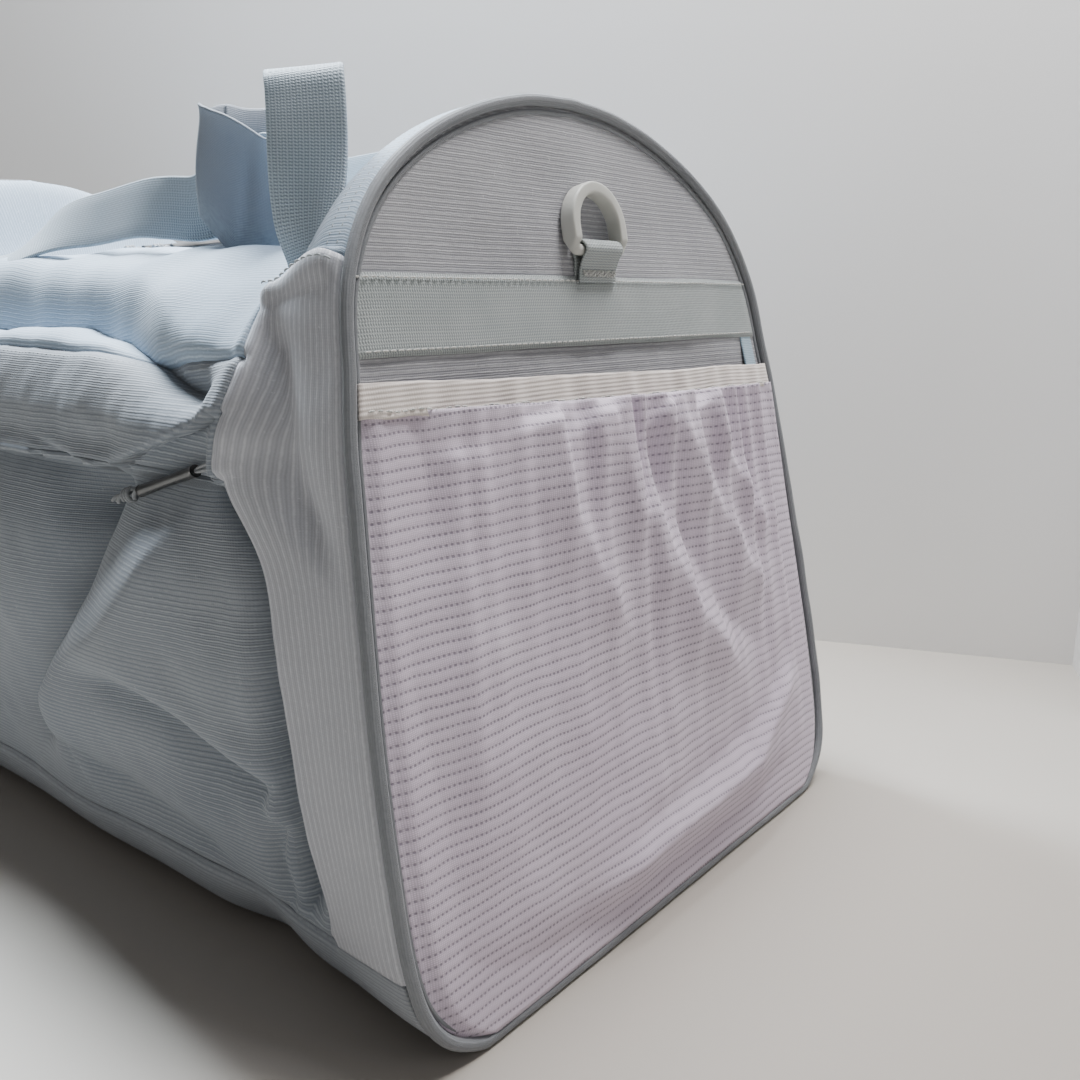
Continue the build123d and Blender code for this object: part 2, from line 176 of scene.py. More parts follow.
class Nodes:
    """Short way to write a shader's nodes."""

    def __init__(self, name):
        self.material = bpy.data.materials.new(name)
        self.material.use_nodes = True
        self.tree = self.material.node_tree
        self.shader = self.tree.nodes["Principled BSDF"]

    def put(self, socket, value):
        if hasattr(value, "is_output"):
            self.tree.links.new(value, socket)
        elif value is not None:
            socket.default_value = value

    def math(self, operation, a, b=None):
        node = self.tree.nodes.new("ShaderNodeMath")
        node.operation = operation
        self.put(node.inputs[0], a)
        self.put(node.inputs[1], b)
        return node.outputs[0]

    def uv(self):
        node = self.tree.nodes.new("ShaderNodeUVMap")
        node.uv_map = "cloth"
        parts = self.tree.nodes.new("ShaderNodeSeparateXYZ")
        self.tree.links.new(node.outputs[0], parts.inputs[0])
        return node.outputs[0], parts.outputs[0], parts.outputs[1]

    def place(self):
        node = self.tree.nodes.new("ShaderNodeTexCoord")
        return node.outputs["Object"]

    def noise(self, vector, scale, detail):
        node = self.tree.nodes.new("ShaderNodeTexNoise")
        self.put(node.inputs["Vector"], vector)
        node.inputs["Scale"].default_value = scale
        node.inputs["Detail"].default_value = detail
        node.inputs["Roughness"].default_value = 0.55
        return node.outputs["Fac"]

    def ramp(self, value, stops):
        node = self.tree.nodes.new("ShaderNodeValToRGB")
        self.put(node.inputs[0], value)
        elements = node.color_ramp.elements
        while len(elements) < len(stops):
            elements.new(0.5)
        for element, (place, colour) in zip(elements, stops):
            element.position = place
            element.color = colour
        return node.outputs[0]

    def mix(self, fac, a, b):
        node = self.tree.nodes.new("ShaderNodeMix")
        node.data_type = "RGBA"
        self.put(node.inputs[0], fac)
        self.put(node.inputs[6], a)
        self.put(node.inputs[7], b)
        return node.outputs[2]

    def plus(self, value, factor, offset):
        """value * factor + offset; each of the three is a number or a socket."""
        node = self.tree.nodes.new("ShaderNodeMath")
        node.operation = "MULTIPLY_ADD"
        for socket, part in zip(node.inputs, (value, factor, offset)):
            self.put(socket, part)
        return node.outputs[0]

    def lines(self, coordinate, period, sharp):
        """Raised lines, 0 to 1, across a coordinate in metres, with a period in millimetres."""
        turn = self.math("MULTIPLY", coordinate, 2 * math.pi / (period * MM))
        return self.math("POWER", self.plus(self.math("COSINE", turn), 0.5, 0.5), sharp)

    def bump(self, height, strength, distance, under=None):
        node = self.tree.nodes.new("ShaderNodeBump")
        node.inputs["Strength"].default_value = strength
        node.inputs["Distance"].default_value = distance * MM
        self.put(node.inputs["Height"], height)
        if under is not None:
            self.put(node.inputs["Normal"], under)
        return node.outputs[0]

    def finish(self, colour, rough, normal=None, **settings):
        self.put(self.shader.inputs["Base Color"], colour)
        self.put(self.shader.inputs["Roughness"], rough)
        if normal is not None:
            self.put(self.shader.inputs["Normal"], normal)
        for key, value in settings.items():
            self.shader.inputs[key.replace("_", " ")].default_value = value
        return self.material


def between(n, value, low, high, dark=(0, 0, 0, 1), light=(1, 1, 1, 1)):
    """Colour that goes from dark to light while the value goes from low to high."""
    return n.ramp(value, ((low, dark), (high, light)))


def ripstop(name, code, thread_code, turned=False, rib=0.9, square=3.4, across=1.75, relief=1.0):
    """Woven ripstop: fine weave with thicker pale threads, one every few millimetres each way."""
    n = Nodes(name)
    uv, u, v = n.uv()
    if turned:
        u, v = v, u
    drift = n.noise(uv, 240.0, 2.0)
    u = n.plus(drift, 0.0006, u)
    v = n.plus(drift, 0.0005, v)
    ribs = n.lines(v, rib, 1.0)
    fine = n.lines(u, 0.85, 1.0)
    slub = n.noise(uv, 520.0, 3.0)
    weft = n.math("MULTIPLY", n.lines(v, across, 3.5), n.plus(between(n, slub, 0.3, 0.6), 0.6, 0.4))
    warp = n.math("MULTIPLY", n.lines(u, square, 9.0), between(n, slub, 0.66, 0.36))
    threads = n.math("MAXIMUM", weft, n.math("MULTIPLY", warp, 0.8))
    weave = n.plus(ribs, 0.5, n.plus(n.math("MULTIPLY", fine, ribs), 0.3, n.plus(threads, 0.5, 0.0)))
    wear = n.noise(n.place(), 20.0, 4.0)
    base = n.mix(between(n, wear, 0.3, 0.75), linear(code), n.mix(0.1, linear(code), (1, 1, 1, 1)))
    # Painted shade: the ground darkens towards near black in the troughs between the ribs, with a little random
    # tone from fine noise.
    dark = n.mix(0.34, base, (0.05, 0.055, 0.065, 1))
    ground = n.mix(n.plus(ribs, 0.6, n.plus(n.noise(uv, 1500.0, 2.0), 0.5, 0.0)), dark, base)
    colour = n.mix(n.math("MULTIPLY", threads, 0.55), ground, linear(thread_code))
    soft = n.bump(n.noise(n.place(), 70.0, 5.0), 0.12, 0.9)
    normal = n.bump(weave, 0.6 * relief, 0.2, soft)
    return n.finish(colour, 0.72, normal, Sheen_Weight=0.15, Sheen_Roughness=0.45, Specular_IOR_Level=0.3)


def webbing_material(name, code, dark_code, rib=1.0):
    """Ribbed polyester webbing with a herringbone twill; u runs along the webbing."""
    n = Nodes(name)
    uv, u, v = n.uv()
    ribs = n.lines(u, rib, 0.8)
    ends = n.lines(v, 1.0, 0.8)
    twill = n.lines(n.plus(v, 0.6, u), rib, 0.8)
    weave = n.plus(ribs, 0.45, n.plus(n.math("MULTIPLY", ends, twill), 0.55, 0.0))
    wear = n.noise(n.place(), 45.0, 4.0)
    base = n.mix(between(n, wear, 0.35, 0.7), linear(code), n.mix(0.12, linear(code), (1, 1, 1, 1)))
    shade = n.plus(weave, 0.9, n.plus(n.noise(uv, 1800.0, 2.0), 0.3, 0.0))
    colour = n.mix(between(n, shade, 0.1, 0.75), linear(dark_code), base)
    return n.finish(colour, 0.62, n.bump(weave, 0.7, 0.25), Sheen_Weight=0.2, Sheen_Roughness=0.4)


MESH_ROW, MESH_DASH = 3.6, 1.8  # spacing of the mesh's rows, and of the dashes in a row


def mesh_material(name):
    """Knitted mesh: rows of small dashes, which are its openings, between smooth bands."""
    n = Nodes(name)
    uv, u, v = n.uv()
    drift = n.noise(uv, 26.0, 3.0)
    v = n.plus(drift, 0.004, v)
    row = n.math("SUBTRACT", 1.0, n.lines(v, MESH_ROW, 1.0))
    dashes = n.lines(n.plus(n.math("SNAP", v, MESH_ROW * MM), 0.37, u), MESH_DASH, 0.8)
    patch = n.noise(uv, 60.0, 3.0)
    holes = n.plus(n.math("MULTIPLY", n.math("POWER", row, 5.0), dashes), 1.0, n.plus(patch, 0.5, -0.25))
    holes = between(n, holes, 0.28, 0.85)
    knit = n.math("MULTIPLY", n.lines(u, 0.75, 1.0), n.lines(v, 0.6, 1.0))
    wear = n.noise(n.place(), 16.0, 4.0)
    base = n.mix(between(n, wear, 0.35, 0.7), linear("DCCEE0"), linear("E8DCEC"))
    # Painted shade: the yarn darkens between the knit's loops, the rows' valleys darken towards a dark lilac, and
    # the openings are painted darker still, as the shade inside the pocket seen through them.
    yarn = n.mix(between(n, knit, 0.0, 0.8), n.mix(0.22, base, (0.1, 0.09, 0.1, 1)), base)
    valley = n.mix(n.math("MULTIPLY", n.math("POWER", row, 2.0), 0.22), yarn, linear("7A7082"))
    colour = n.mix(n.math("MULTIPLY", holes, 0.6), valley, linear("625C6C"))
    height = n.plus(knit, 0.25, n.plus(row, -0.45, n.plus(holes, -0.6, 1.0)))
    return n.finish(colour, 0.72, n.bump(height, 0.6, 0.3), Sheen_Weight=0.08, Sheen_Roughness=0.4)


def elastic_material(name):
    n = Nodes(name)
    uv, u, v = n.uv()
    ribs = n.lines(v, 1.5, 1.0)
    weave = n.plus(ribs, 0.7, n.plus(n.math("MULTIPLY", n.lines(u, 0.8, 1.0), ribs), 0.3, 0.0))
    shade = n.plus(weave, 0.8, n.plus(n.noise(uv, 1300.0, 3.0), 0.3, 0.0))
    colour = between(n, shade, 0.05, 0.8, linear("CEC4BE"), linear("F9F0EA"))
    return n.finish(colour, 0.75, n.bump(weave, 0.6, 0.25), Sheen_Weight=0.2)


def plastic_material(name, code, rough, grain, coat=0.0):
    n = Nodes(name)
    patch = n.noise(n.place(), 60.0, 4.0)
    colour = n.mix(between(n, patch, 0.3, 0.75), linear(code), n.mix(0.08, linear(code), (1, 1, 1, 1)))
    normal = n.bump(n.noise(n.place(), 2600.0, 2.0), 0.25 * grain, 0.08)
    return n.finish(colour, n.plus(patch, 0.12, rough), normal, Coat_Weight=coat, Coat_Roughness=0.25)


def thread_material(name, code):
    n = Nodes(name)
    twist = n.noise(n.place(), 2400.0, 2.0)
    r, g, b, _ = linear(code)
    colour = between(n, twist, 0.3, 0.7, (r * 0.6, g * 0.6, b * 0.6, 1.0), (r, g, b, 1.0))
    return n.finish(colour, 0.6, n.bump(twist, 0.4, 0.1), Sheen_Weight=0.2)


def wall_material(name, code, rough, scale):
    n = Nodes(name)
    r, g, b, _ = linear(code)
    patch = n.noise(n.place(), scale, 3.0)
    colour = between(n, patch, 0.3, 0.7, (r * 0.97, g * 0.97, b * 0.97, 1), (r, g, b, 1))
    return n.finish(colour, rough, n.bump(n.noise(n.place(), 420.0, 3.0), 0.06, 0.3))


def one_sided(material):
    """Seen from the room only, so that a view from behind a wall still shows the bag."""
    tree = material.node_tree
    output = next(node for node in tree.nodes if node.type == "OUTPUT_MATERIAL")
    shader = output.inputs[0].links[0].from_node
    mix = tree.nodes.new("ShaderNodeMixShader")
    tree.links.new(tree.nodes.new("ShaderNodeNewGeometry").outputs["Backfacing"], mix.inputs[0])
    tree.links.new(shader.outputs[0], mix.inputs[1])
    tree.links.new(tree.nodes.new("ShaderNodeBsdfTransparent").outputs[0], mix.inputs[2])
    tree.links.new(mix.outputs[0], output.inputs[0])
    return material


PLAIN = 90.0  # thread spacing so wide that a cloth looks plain
# The bag's outer cloth is one fabric, and these copies of it differ in colour only by painted light: the top's is
# painted lighter and bluer as sky light, the gusset's lighter as light falling on it, the side's and the bottom's
# darker as shade, and the end's a mid grey between them.
M_SIDE_SHADED = ripstop("ripstop_side_shaded", "8C949E", "BDC3C9")
M_TOP_LIT = ripstop("ripstop_top_lit", "AEC3D8", "E2EEFA", relief=0.7)
M_GUSSET_LIT = ripstop("ripstop_gusset_lit", "BEC0C8", "E6E8ED", turned=True, across=2.7)
M_BOTTOM_SHADED = ripstop("ripstop_bottom_shaded", "8E949C", "BABFC6")
M_END = ripstop("ripstop_end", "9A9BA1", "D0D1D5", rib=0.8, square=3.9, across=1.95)
M_PIPING = ripstop("piping_cloth", "767A7F", "8D9196", square=PLAIN, across=PLAIN)
M_WEB = webbing_material("webbing", "B6C8D6", "6F7E8C")
M_BAND = webbing_material("band_webbing", "ABB3B3", "747B7D")
M_GRIP = ripstop("grip_cloth", "87909C", "AEBBC7", rib=0.7, square=PLAIN, across=PLAIN)
M_MESH = mesh_material("mesh_knit")
M_ELASTIC = elastic_material("elastic_rib")
M_RING = plastic_material("ring_plastic", "C3C4BE", 0.42, 1.0)
M_THREAD = thread_material("stitch_thread", "B4BBC0")
M_THREAD_PALE = thread_material("pale_thread", "D8D9D5")
M_CORD = thread_material("pull_cord_yarn", "9A9EA2")
M_TUBE = plastic_material("pull_tube_plastic", "17181A", 0.28, 0.5, coat=0.3)
M_COIL = plastic_material("zip_coil_nylon", "7C8890", 0.45, 0.6)
M_TAPE = webbing_material("zip_tape_weave", "8E9AA3", "5F6A73", rib=0.9)
M_TAB = webbing_material("tab_weave", "A6BFD0", "7790A2", rib=0.8)
M_SLIDER = plastic_material("slider_enamel", "33353A", 0.35, 0.5, coat=0.4)
M_BOARD = plastic_material("board_plastic", "3B3B3D", 0.6, 1.0)
M_LINING = ripstop("lining_cloth", "8C969E", "959FA6", square=PLAIN, across=PLAIN)


def paint(obj, material):
    obj.data.materials.clear()
    obj.data.materials.append(material)
    return obj


def settle(obj, material, body, nodes=()):
    """Give a piece its material and its body, and hide the CAD nodes that it stands for."""
    paint(obj, material)
    if body:
        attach(obj, body)
    if nodes:
        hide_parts(*nodes)
    return obj


# --- the bag's skin --------------------------------------------------------------------------

# Half section from the base centre to the zip, (y, z): at an end, then in the middle at the
# front and at the back
END_SECTION = (
    (0, 0), (60, 0), (103, 0), (121, 4.5), (133, 15), (138.5, 32),
    (139.5, 62), (138, 98), (134.5, 137), (130, 178), (128, 193), (125, 209),
    (119, 237), (104, 261), (81, 278.5), (54, 290.5), (27, 297.5), (4, 299.5), (-0.5, 300),
)
FRONT_SECTION = (
    (0, 0), (60, 0), (98, 0), (114, 1.5), (125, 9), (131, 25),
    (135, 58), (137, 98), (136, 137), (131, 174), (134, 192), (127, 212),
    (115, 226), (99, 239), (76, 247), (46, 251), (22, 252), (4, 252), (-0.5, 252),
)
BACK_SECTION = (
    (0, 0), (60, 0), (99, 0), (115, 2), (127, 11), (132, 28),
    (136, 60), (138, 98), (137, 138), (133, 174), (130, 192), (125, 210),
    (114, 228), (97, 240), (74, 248), (46, 252), (22, 252), (4, 252), (-0.5, 252),
)
KEY_BOTTOM, KEY_ZIP, KEY_SEAM, KEY_HEM, KEY_CROWN, KEY_END = 5, 9, 11, 12.2, 17, 18
KEY_STEP = 0.07
SEEDS = {-1: 11, 1: 23}  # ripples of the front and of the back
ON_FLOOR = 1.15  # the cloth's outside is at least this high
ZIP_COVER = 132.0  # the cloth over the pocket's zip lies at least this far from the middle
WIDE_LIMIT, WIDE_SPAN = 144.0, 8.0  # where the sides' bulge is held back, and by how much it may grow

# Folds of the front, each a line of (x, z); front_folds() has their depths and widths
RIDGE = ((176, 178), (160, 157), (138, 131), (114, 112), (84, 96), (45, 64), (24, 36))
VALLEY = ((97, 172), (92, 152), (82, 128), (69, 104), (46, 71), (24, 36))
WELT_CREASE = (
    (-260, 170), (-160, 175), (-70, 168), (17, 171), (60, 172),
    (98, 171), (115, 174), (133, 181), (180, 194),
)
TOP_FOLD = (
    (-240, 228), (-120, 222), (2, 225), (54, 226), (90, 221), (116, 213), (145, 203), (178, 197),
)
LOW_FOLD = ((83, 97), (119, 93), (144, 86), (173, 75), (195, 68))
LOWER_FOLD = ((42, 54), (75, 53), (111, 43), (144, 37), (170, 30))
SEAM_VALLEY = ((182, 174), (190, 152), (195, 122), (198, 85), (202, 45), (206, 26))
CORNER_CREASE = ((196, 26), (188, 44), (193, 64))
FAR_RIDGE = ((-20, 168), (-48, 130), (-60, 92), (-95, 52))
FAR_VALLEY = ((-120, 172), (-132, 128), (-120, 88), (-138, 48))


def near_line(x, z, line):
    """Signed distance from a line of (x, z) points, positive above it, and the share along it."""
    line = np.asarray(line, float)
    run = lengths(line)
    best = np.full(x.shape, 1e9)
    signed = np.zeros(x.shape)
    share = np.zeros(x.shape)
    for i in range(len(line) - 1):
        a, b = line[i], line[i + 1]
        d = b - a
        size = np.hypot(*d)
        t = np.clip(((x - a[0]) * d[0] + (z - a[1]) * d[1]) / size**2, 0, 1)
        px, pz = a[0] + t * d[0], a[1] + t * d[1]
        gap = np.hypot(x - px, z - pz)
        cross = d[0] * (z - a[1]) - d[1] * (x - a[0])
        closer = gap < best
        best = np.where(closer, gap, best)
        signed = np.where(closer, np.sign(cross) * gap, signed)
        share = np.where(closer, (run[i] + t * size) / run[-1], share)
    return signed, share


def fold(x, z, line, height, left, right, fade=(0.1, 0.25), power=1.3):
    """Ridge or valley along a line; left and right are its widths on the two sides."""
    signed, share = near_line(x, z, line)
    width = np.where(signed > 0, left, right)
    shape = np.exp(-((np.abs(signed) / width) ** power))
    ends = smoothstep(0, fade[0], share) * (1 - smoothstep(1 - fade[1], 1, share))
    return height * shape * ends


def front_folds(x, z):
    """Outward displacement of the front of the bag."""
    d = fold(x, z, RIDGE, 20, 30, 16, (0.3, 0.3), 1.1)
    d += fold(x, z, VALLEY, -24, 8, 13, (0.02, 0.25), 1.15)
    d += -11 * np.exp(-(((x - 84) / 12) ** 2 + ((z - 157) / 9) ** 2))
    d += 7 * np.exp(-(((x - 30) / 42) ** 2 + ((z - 120) / 45) ** 2))
    signed, share = near_line(x, z, WELT_CREASE)
    lip = np.exp(-((np.maximum(signed, 0) / 13) ** 1.5)) * (signed > 0)
    under = np.exp(-((np.maximum(-signed, 0) / 9) ** 1.2)) * (signed <= 0)
    strength = 1 - 0.55 * smoothstep(0.85, 1.0, share)
    d += strength * (6.5 * lip * smoothstep(-95, -30, x) - 7.5 * under)
    d += fold(x, z, TOP_FOLD, -13, 9, 5, (0.02, 0.05), 1.2)
    d += fold(x, z, [(a, b + 15) for a, b in TOP_FOLD], 4, 14, 9, (0.02, 0.1), 1.6)
    d += fold(x, z, LOW_FOLD, -9, 6, 10, (0.25, 0.1), 1.3)
    d += fold(x, z, [(a, b + 11) for a, b in LOW_FOLD], 3.5, 9, 8, (0.25, 0.1), 1.6)
    d += fold(x, z, LOWER_FOLD, -6, 6, 9, (0.2, 0.2), 1.3)
    d += fold(x, z, SEAM_VALLEY, -16, 20, 3, (0.02, 0.08), 1.3)
    d += fold(x, z, CORNER_CREASE, -7, 5, 6, (0.1, 0.2), 1.5)
    d += fold(x, z, FAR_RIDGE, 10, 24, 24, (0.1, 0.3), 1.4)
    d += fold(x, z, FAR_VALLEY, -10, 20, 20, (0.1, 0.3), 1.5)
    return d


def back_folds(x, z):
    """Outward displacement of the back of the bag."""
    d = fold(x, z, ((-150, 175), (-110, 130), (-60, 95), (20, 60)), 10, 26, 20, (0.1, 0.3), 1.4)
    d += fold(x, z, ((150, 178), (120, 140), (95, 90), (105, 50)), 9, 22, 22, (0.1, 0.3), 1.4)
    d += fold(x, z, ((60, 190), (40, 150), (-30, 120), (-60, 80)), -9, 18, 18, (0.1, 0.3), 1.5)
    d += fold(x, z, ((-230, 224), (-90, 218), (60, 224), (230, 220)), -6, 9, 8, (0.05, 0.05), 1.5)
    return d


def skin_point(base, key, side):
    """Points of the skin. base is the place along the floor, key the place round the section."""
    seed = SEEDS[side]
    keys = np.arange(len(END_SECTION))
    end = catmull(END_SECTION, 8)
    middle = catmull(FRONT_SECTION if side < 0 else BACK_SECTION, 8)
    dense = np.linspace(0, keys[-1], len(end))
    away = np.abs(base)
    low_slack = 1 - smoothstep(214, 266, away)
    top_slack = 1 - smoothstep(222, 262, away)
    share = smoothstep(10.2, 12.5, key)
    slack = low_slack * (1 - share) + top_slack * share
    y = np.interp(key, dense, end[:, 0]) * (1 - slack) + np.interp(key, dense, middle[:, 0]) * slack
    z = np.interp(key, dense, end[:, 1]) * (1 - slack) + np.interp(key, dense, middle[:, 1]) * slack
    lean = LEAN * np.clip(away / SEAM, 0, 1)
    x = np.sign(base) * (away - lean * z) + CENTRE_X
    # outward direction in the section, from the neighbours of the middle section
    y1 = np.interp(key + 0.35, dense, middle[:, 0]) - np.interp(key - 0.35, dense, middle[:, 0])
    z1 = np.interp(key + 0.35, dense, middle[:, 1]) - np.interp(key - 0.35, dense, middle[:, 1])
    size = np.maximum(np.hypot(y1, z1), 1e-6)
    out_y, out_z = z1 / size, -y1 / size
    free = (1 - smoothstep(SEAM - 16, SEAM + 12, away)) * smoothstep(KEY_BOTTOM - 0.6, KEY_BOTTOM + 0.9, key)
    d = front_folds(x, z) if side < 0 else back_folds(x, z)
    d *= free * (1 - 0.75 * smoothstep(13.2, 15.0, key))
    ripple = smoothstep(KEY_BOTTOM - 1.5, KEY_BOTTOM + 1, key) * (0.25 + 0.75 * free)
    d += waves(x, z + y * 0.7, seed, 46, 2.4) * ripple * (0.6 + 0.4 * share)
    d += waves(x, z + y * 0.5, seed + 1, 17, 0.5) * ripple * (1 - 0.7 * share)
    # soft drapes across the slack top
    top = smoothstep(12.0, 13.5, key) * (1 - smoothstep(200, 240, away))
    d += top * waves(x * 0.5, y * 0.9, seed + 2, 60, 5.0) * (1 - smoothstep(15.6, 16.8, key))
    # beside the main zip the top only sinks, so that the sliders run clear
    beside_zip = smoothstep(14.0, 15.1, key)
    d = np.where(d > 0, d * (1 - beside_zip), d)
    # the gusset's edge stands proud as a soft ridge, and the ridge hooks over the zip's end
    edge = np.exp(-(((away - SEAM) / 7) ** 2)) * smoothstep(KEY_BOTTOM, KEY_BOTTOM + 1.2, key)
    d += edge * (1 - smoothstep(12.0, 12.6, key)) * (3.0 if side < 0 else 1.5)
    if side < 0:
        dip = np.exp(-np.abs((away - 241 - 0.28 * (212 - z)) / 7) ** 1.6)
        d -= 5.5 * dip * smoothstep(146, 172, z) * (1 - smoothstep(216, 228, z)) * (base > 0)
        hook = np.exp(-(((z - 176) / 20) ** 2)) * np.exp(-(((away - SEAM) / 22) ** 2)) * (base > 0)
        x = x - 15 * hook
        d += 4 * hook
    # the gusset's top edge is a hem that lies over the crown
    hem = (away > SEAM - 0.5) * smoothstep(KEY_HEM - 0.35, KEY_HEM - 0.1, key) * (key <= KEY_HEM + 0.001)
    d += 3.0 * hem
    # the back gusset bulges below its hem
    if side > 0:
        d += 20.0 * np.exp(-(((key - 11.5) / 1.2) ** 2)) * np.exp(-(((away - 250) / 17) ** 2))
    # seams pull in along their lines
    for seam_key, width in ((KEY_BOTTOM, 0.07), (KEY_SEAM, 0.09)):
        d -= 2.2 * np.exp(-(((key - seam_key) / width) ** 2)) * (away < SEAM + 2)
    d -= 1.2 * np.exp(-(((away - SEAM) / 1.6) ** 2)) * smoothstep(KEY_BOTTOM, KEY_BOTTOM + 0.3, key)
    # the skin lies still at the piping, in a narrow groove
    d *= 1 - smoothstep(HALF - 9, HALF - 1, away)
    d -= 2.0 * smoothstep(HALF - 2.6, HALF - 0.4, away)
    y = y + d * out_y
    z = z + d * out_z
    # the bottom's edge tucks in and lifts a little where the side pulls on it
    if side < 0:
        tuck = np.exp(-(((x - 172) / 20) ** 2)) * np.exp(-(((key - 4.0) / 1.2) ** 2))
        y = y - 6 * tuck
        lift = smoothstep(KEY_BOTTOM - 2.2, KEY_BOTTOM, key) * (1 - smoothstep(KEY_BOTTOM, KEY_BOTTOM + 1.5, key))
        z = z + lift * waves(x, x * 0, 41, 90, 4.0) * (1 - smoothstep(210, 250, away))
    z = np.maximum(z, ON_FLOOR)
    if side < 0:
        # the cloth covers the pocket's zip
        cover = (1 - smoothstep(6, 13, np.abs(z - 180))) * (away < SEAM)
        y = y + cover * np.maximum(0, ZIP_COVER - y)
    y = np.where(y > WIDE_LIMIT, WIDE_LIMIT + WIDE_SPAN * np.tanh((y - WIDE_LIMIT) / 10), y)
    return np.stack([x, side * y, z], -1)


def skin_panel(name, side, base_range, key_range, step=2.0):
    """One cloth panel, between two places along the bag and two places round it."""
    rows = int(round((base_range[1] - base_range[0]) / step)) + 1
    cols = int(round((key_range[1] - key_range[0]) / KEY_STEP)) + 1
    base, key = np.meshgrid(np.linspace(*base_range, rows), np.linspace(*key_range, cols), indexing="ij")
    points = skin_point(base, key, side)
    middle = points[rows // 2]
    around = lengths(middle)
    uvs = np.stack([base, np.broadcast_to(around, base.shape)], -1)
    return grid_mesh(name, points, uvs, flip=side < 0)


LONG = (-SEAM, SEAM)
FACES = (("front", -1), ("back", 1))
ENDS = (("right", 1), ("left", -1))


def make_skin():
    """Every cloth panel of the bag's sides, top and bottom."""
    low = (LONG[0] - 40, LONG[1] + 40)
    bottom = [paint(skin_panel("bottom_" + face, side, low, (0, KEY_BOTTOM)), M_BOTTOM_SHADED) for face, side in FACES]
    whole = join("bottom_cloth", bottom)
    weld = whole.modifiers.new("weld", "WELD")
    weld.merge_threshold = 0.0002
    settle(thicken(whole, 1.0), M_BOTTOM_SHADED, "root", ["bottom_panel"])
    plan = (
        ("front_pocket_cloth", -1, (KEY_BOTTOM, KEY_ZIP), M_SIDE_SHADED, "front_pocket_panel", (0.456, 0.165)),
        ("pocket_welt_cloth", -1, (KEY_ZIP, KEY_SEAM), M_SIDE_SHADED, "pocket_welt", (0.456, 0.04)),
        ("top_cloth_front", -1, (KEY_SEAM, KEY_CROWN), M_TOP_LIT, "top_panel_front", (0.45, 0.125)),
        ("top_cloth_back", 1, (KEY_SEAM, KEY_CROWN), M_TOP_LIT, "top_panel_back", (0.44, 0.12)),
        ("back_cloth", 1, (KEY_BOTTOM, KEY_SEAM), M_SIDE_SHADED, "back_panel", (0.456, 0.185)),
    )
    for name, side, key, material, node, flat in plan:
        piece = skin_panel(name, side, LONG, key)
        settle(thicken(piece, 0.9), material, "root", [node])
        face = "front" if side < 0 else "back"
    for end_name, end in ENDS:
        span = (SEAM, HALF - 0.1) if end > 0 else (-HALF + 0.1, -SEAM)
        for face, side in FACES:
            node = "gusset_" + face + "_" + end_name
            piece = skin_panel(node + "_cloth", side, span, (KEY_BOTTOM, KEY_HEM), 1.5)
            settle(thicken(piece, 1.0), M_GUSSET_LIT, "root", [node])
        halves = []
        for face, side in FACES:
            half = skin_panel("crown_" + face + end_name, side, span, (KEY_HEM, KEY_END), 1.5)
            halves.append(paint(half, M_TOP_LIT))
        crown = join("crown_cloth_" + end_name, halves)
        settle(thicken(crown, 0.9), M_TOP_LIT, "root", ["crown_strip_" + end_name])


make_skin()

# --- end panels --------------------------------------------------------------------------------


def end_frame(end):
    """Origin, across, up and outward directions of an end panel."""
    origin = np.array([end * HALF + CENTRE_X, 0.0, 0.0])
    across = np.array([0.0, 1.0, 0.0])
    up = np.array([-end * math.sin(LEAN_RISE), 0.0, math.cos(LEAN_RISE)])
    out = np.array([end * math.cos(LEAN_RISE), 0.0, math.sin(LEAN_RISE)])
    return origin, across, up, out


def on_end(end, y, v, n):
    origin, across, up, out = end_frame(end)
    y, v, n = np.broadcast_arrays(np.asarray(y, float), np.asarray(v, float), np.asarray(n, float))
    return origin + y[..., None] * across + v[..., None] * up + n[..., None] * out


def end_half_width(v):
    """Half width of the end panel at a height along it."""
    outline = catmull(END_SECTION, 8)
    outline = outline[outline[:, 1] > 0.01]
    return np.interp(v * math.cos(LEAN_RISE), outline[:, 1], outline[:, 0])


def end_outline():
    """Closed outline of an end panel, (y, v), from the base centre round by the back."""
    half = catmull(END_SECTION, 10)
    half[:, 1] /= math.cos(LEAN_RISE)
    half = half[half[:, 0] > 1.0]
    return np.vstack([half, (half * (-1, 1))[::-1]])


def end_panel(end, name):
    """Cloth of the end, with a little life in it."""
    outline = resample(np.vstack([end_outline(), end_outline()[:1]]), 3.0)[:-1]
    rings = np.linspace(0, 1, 46)
    centre = np.array([0.0, 140.0])
    y = centre[0] + (outline[None, :, 0] - centre[0]) * rings[:, None]
    v = centre[1] + (outline[None, :, 1] - centre[1]) * rings[:, None]
    flat = 1 - rings[:, None] ** 6
    n = (waves(y, v, 5, 70, 1.6) + waves(y, v, 6, 21, 0.5)) * flat - 0.5
    points = on_end(end, y, v, n)
    uvs = np.stack([y, v], -1)
    rows, cols = y.shape
    faces = grid_faces(rows, cols, wrap_cols=True)
    if end > 0:
        faces = [f[::-1] for f in faces]
    piece = mesh_from(name, points.reshape(-1, 3), faces, uvs.reshape(-1, 2))
    weld = piece.modifiers.new("weld", "WELD")
    weld.merge_threshold = 0.0001
    return thicken(piece, 1.0)


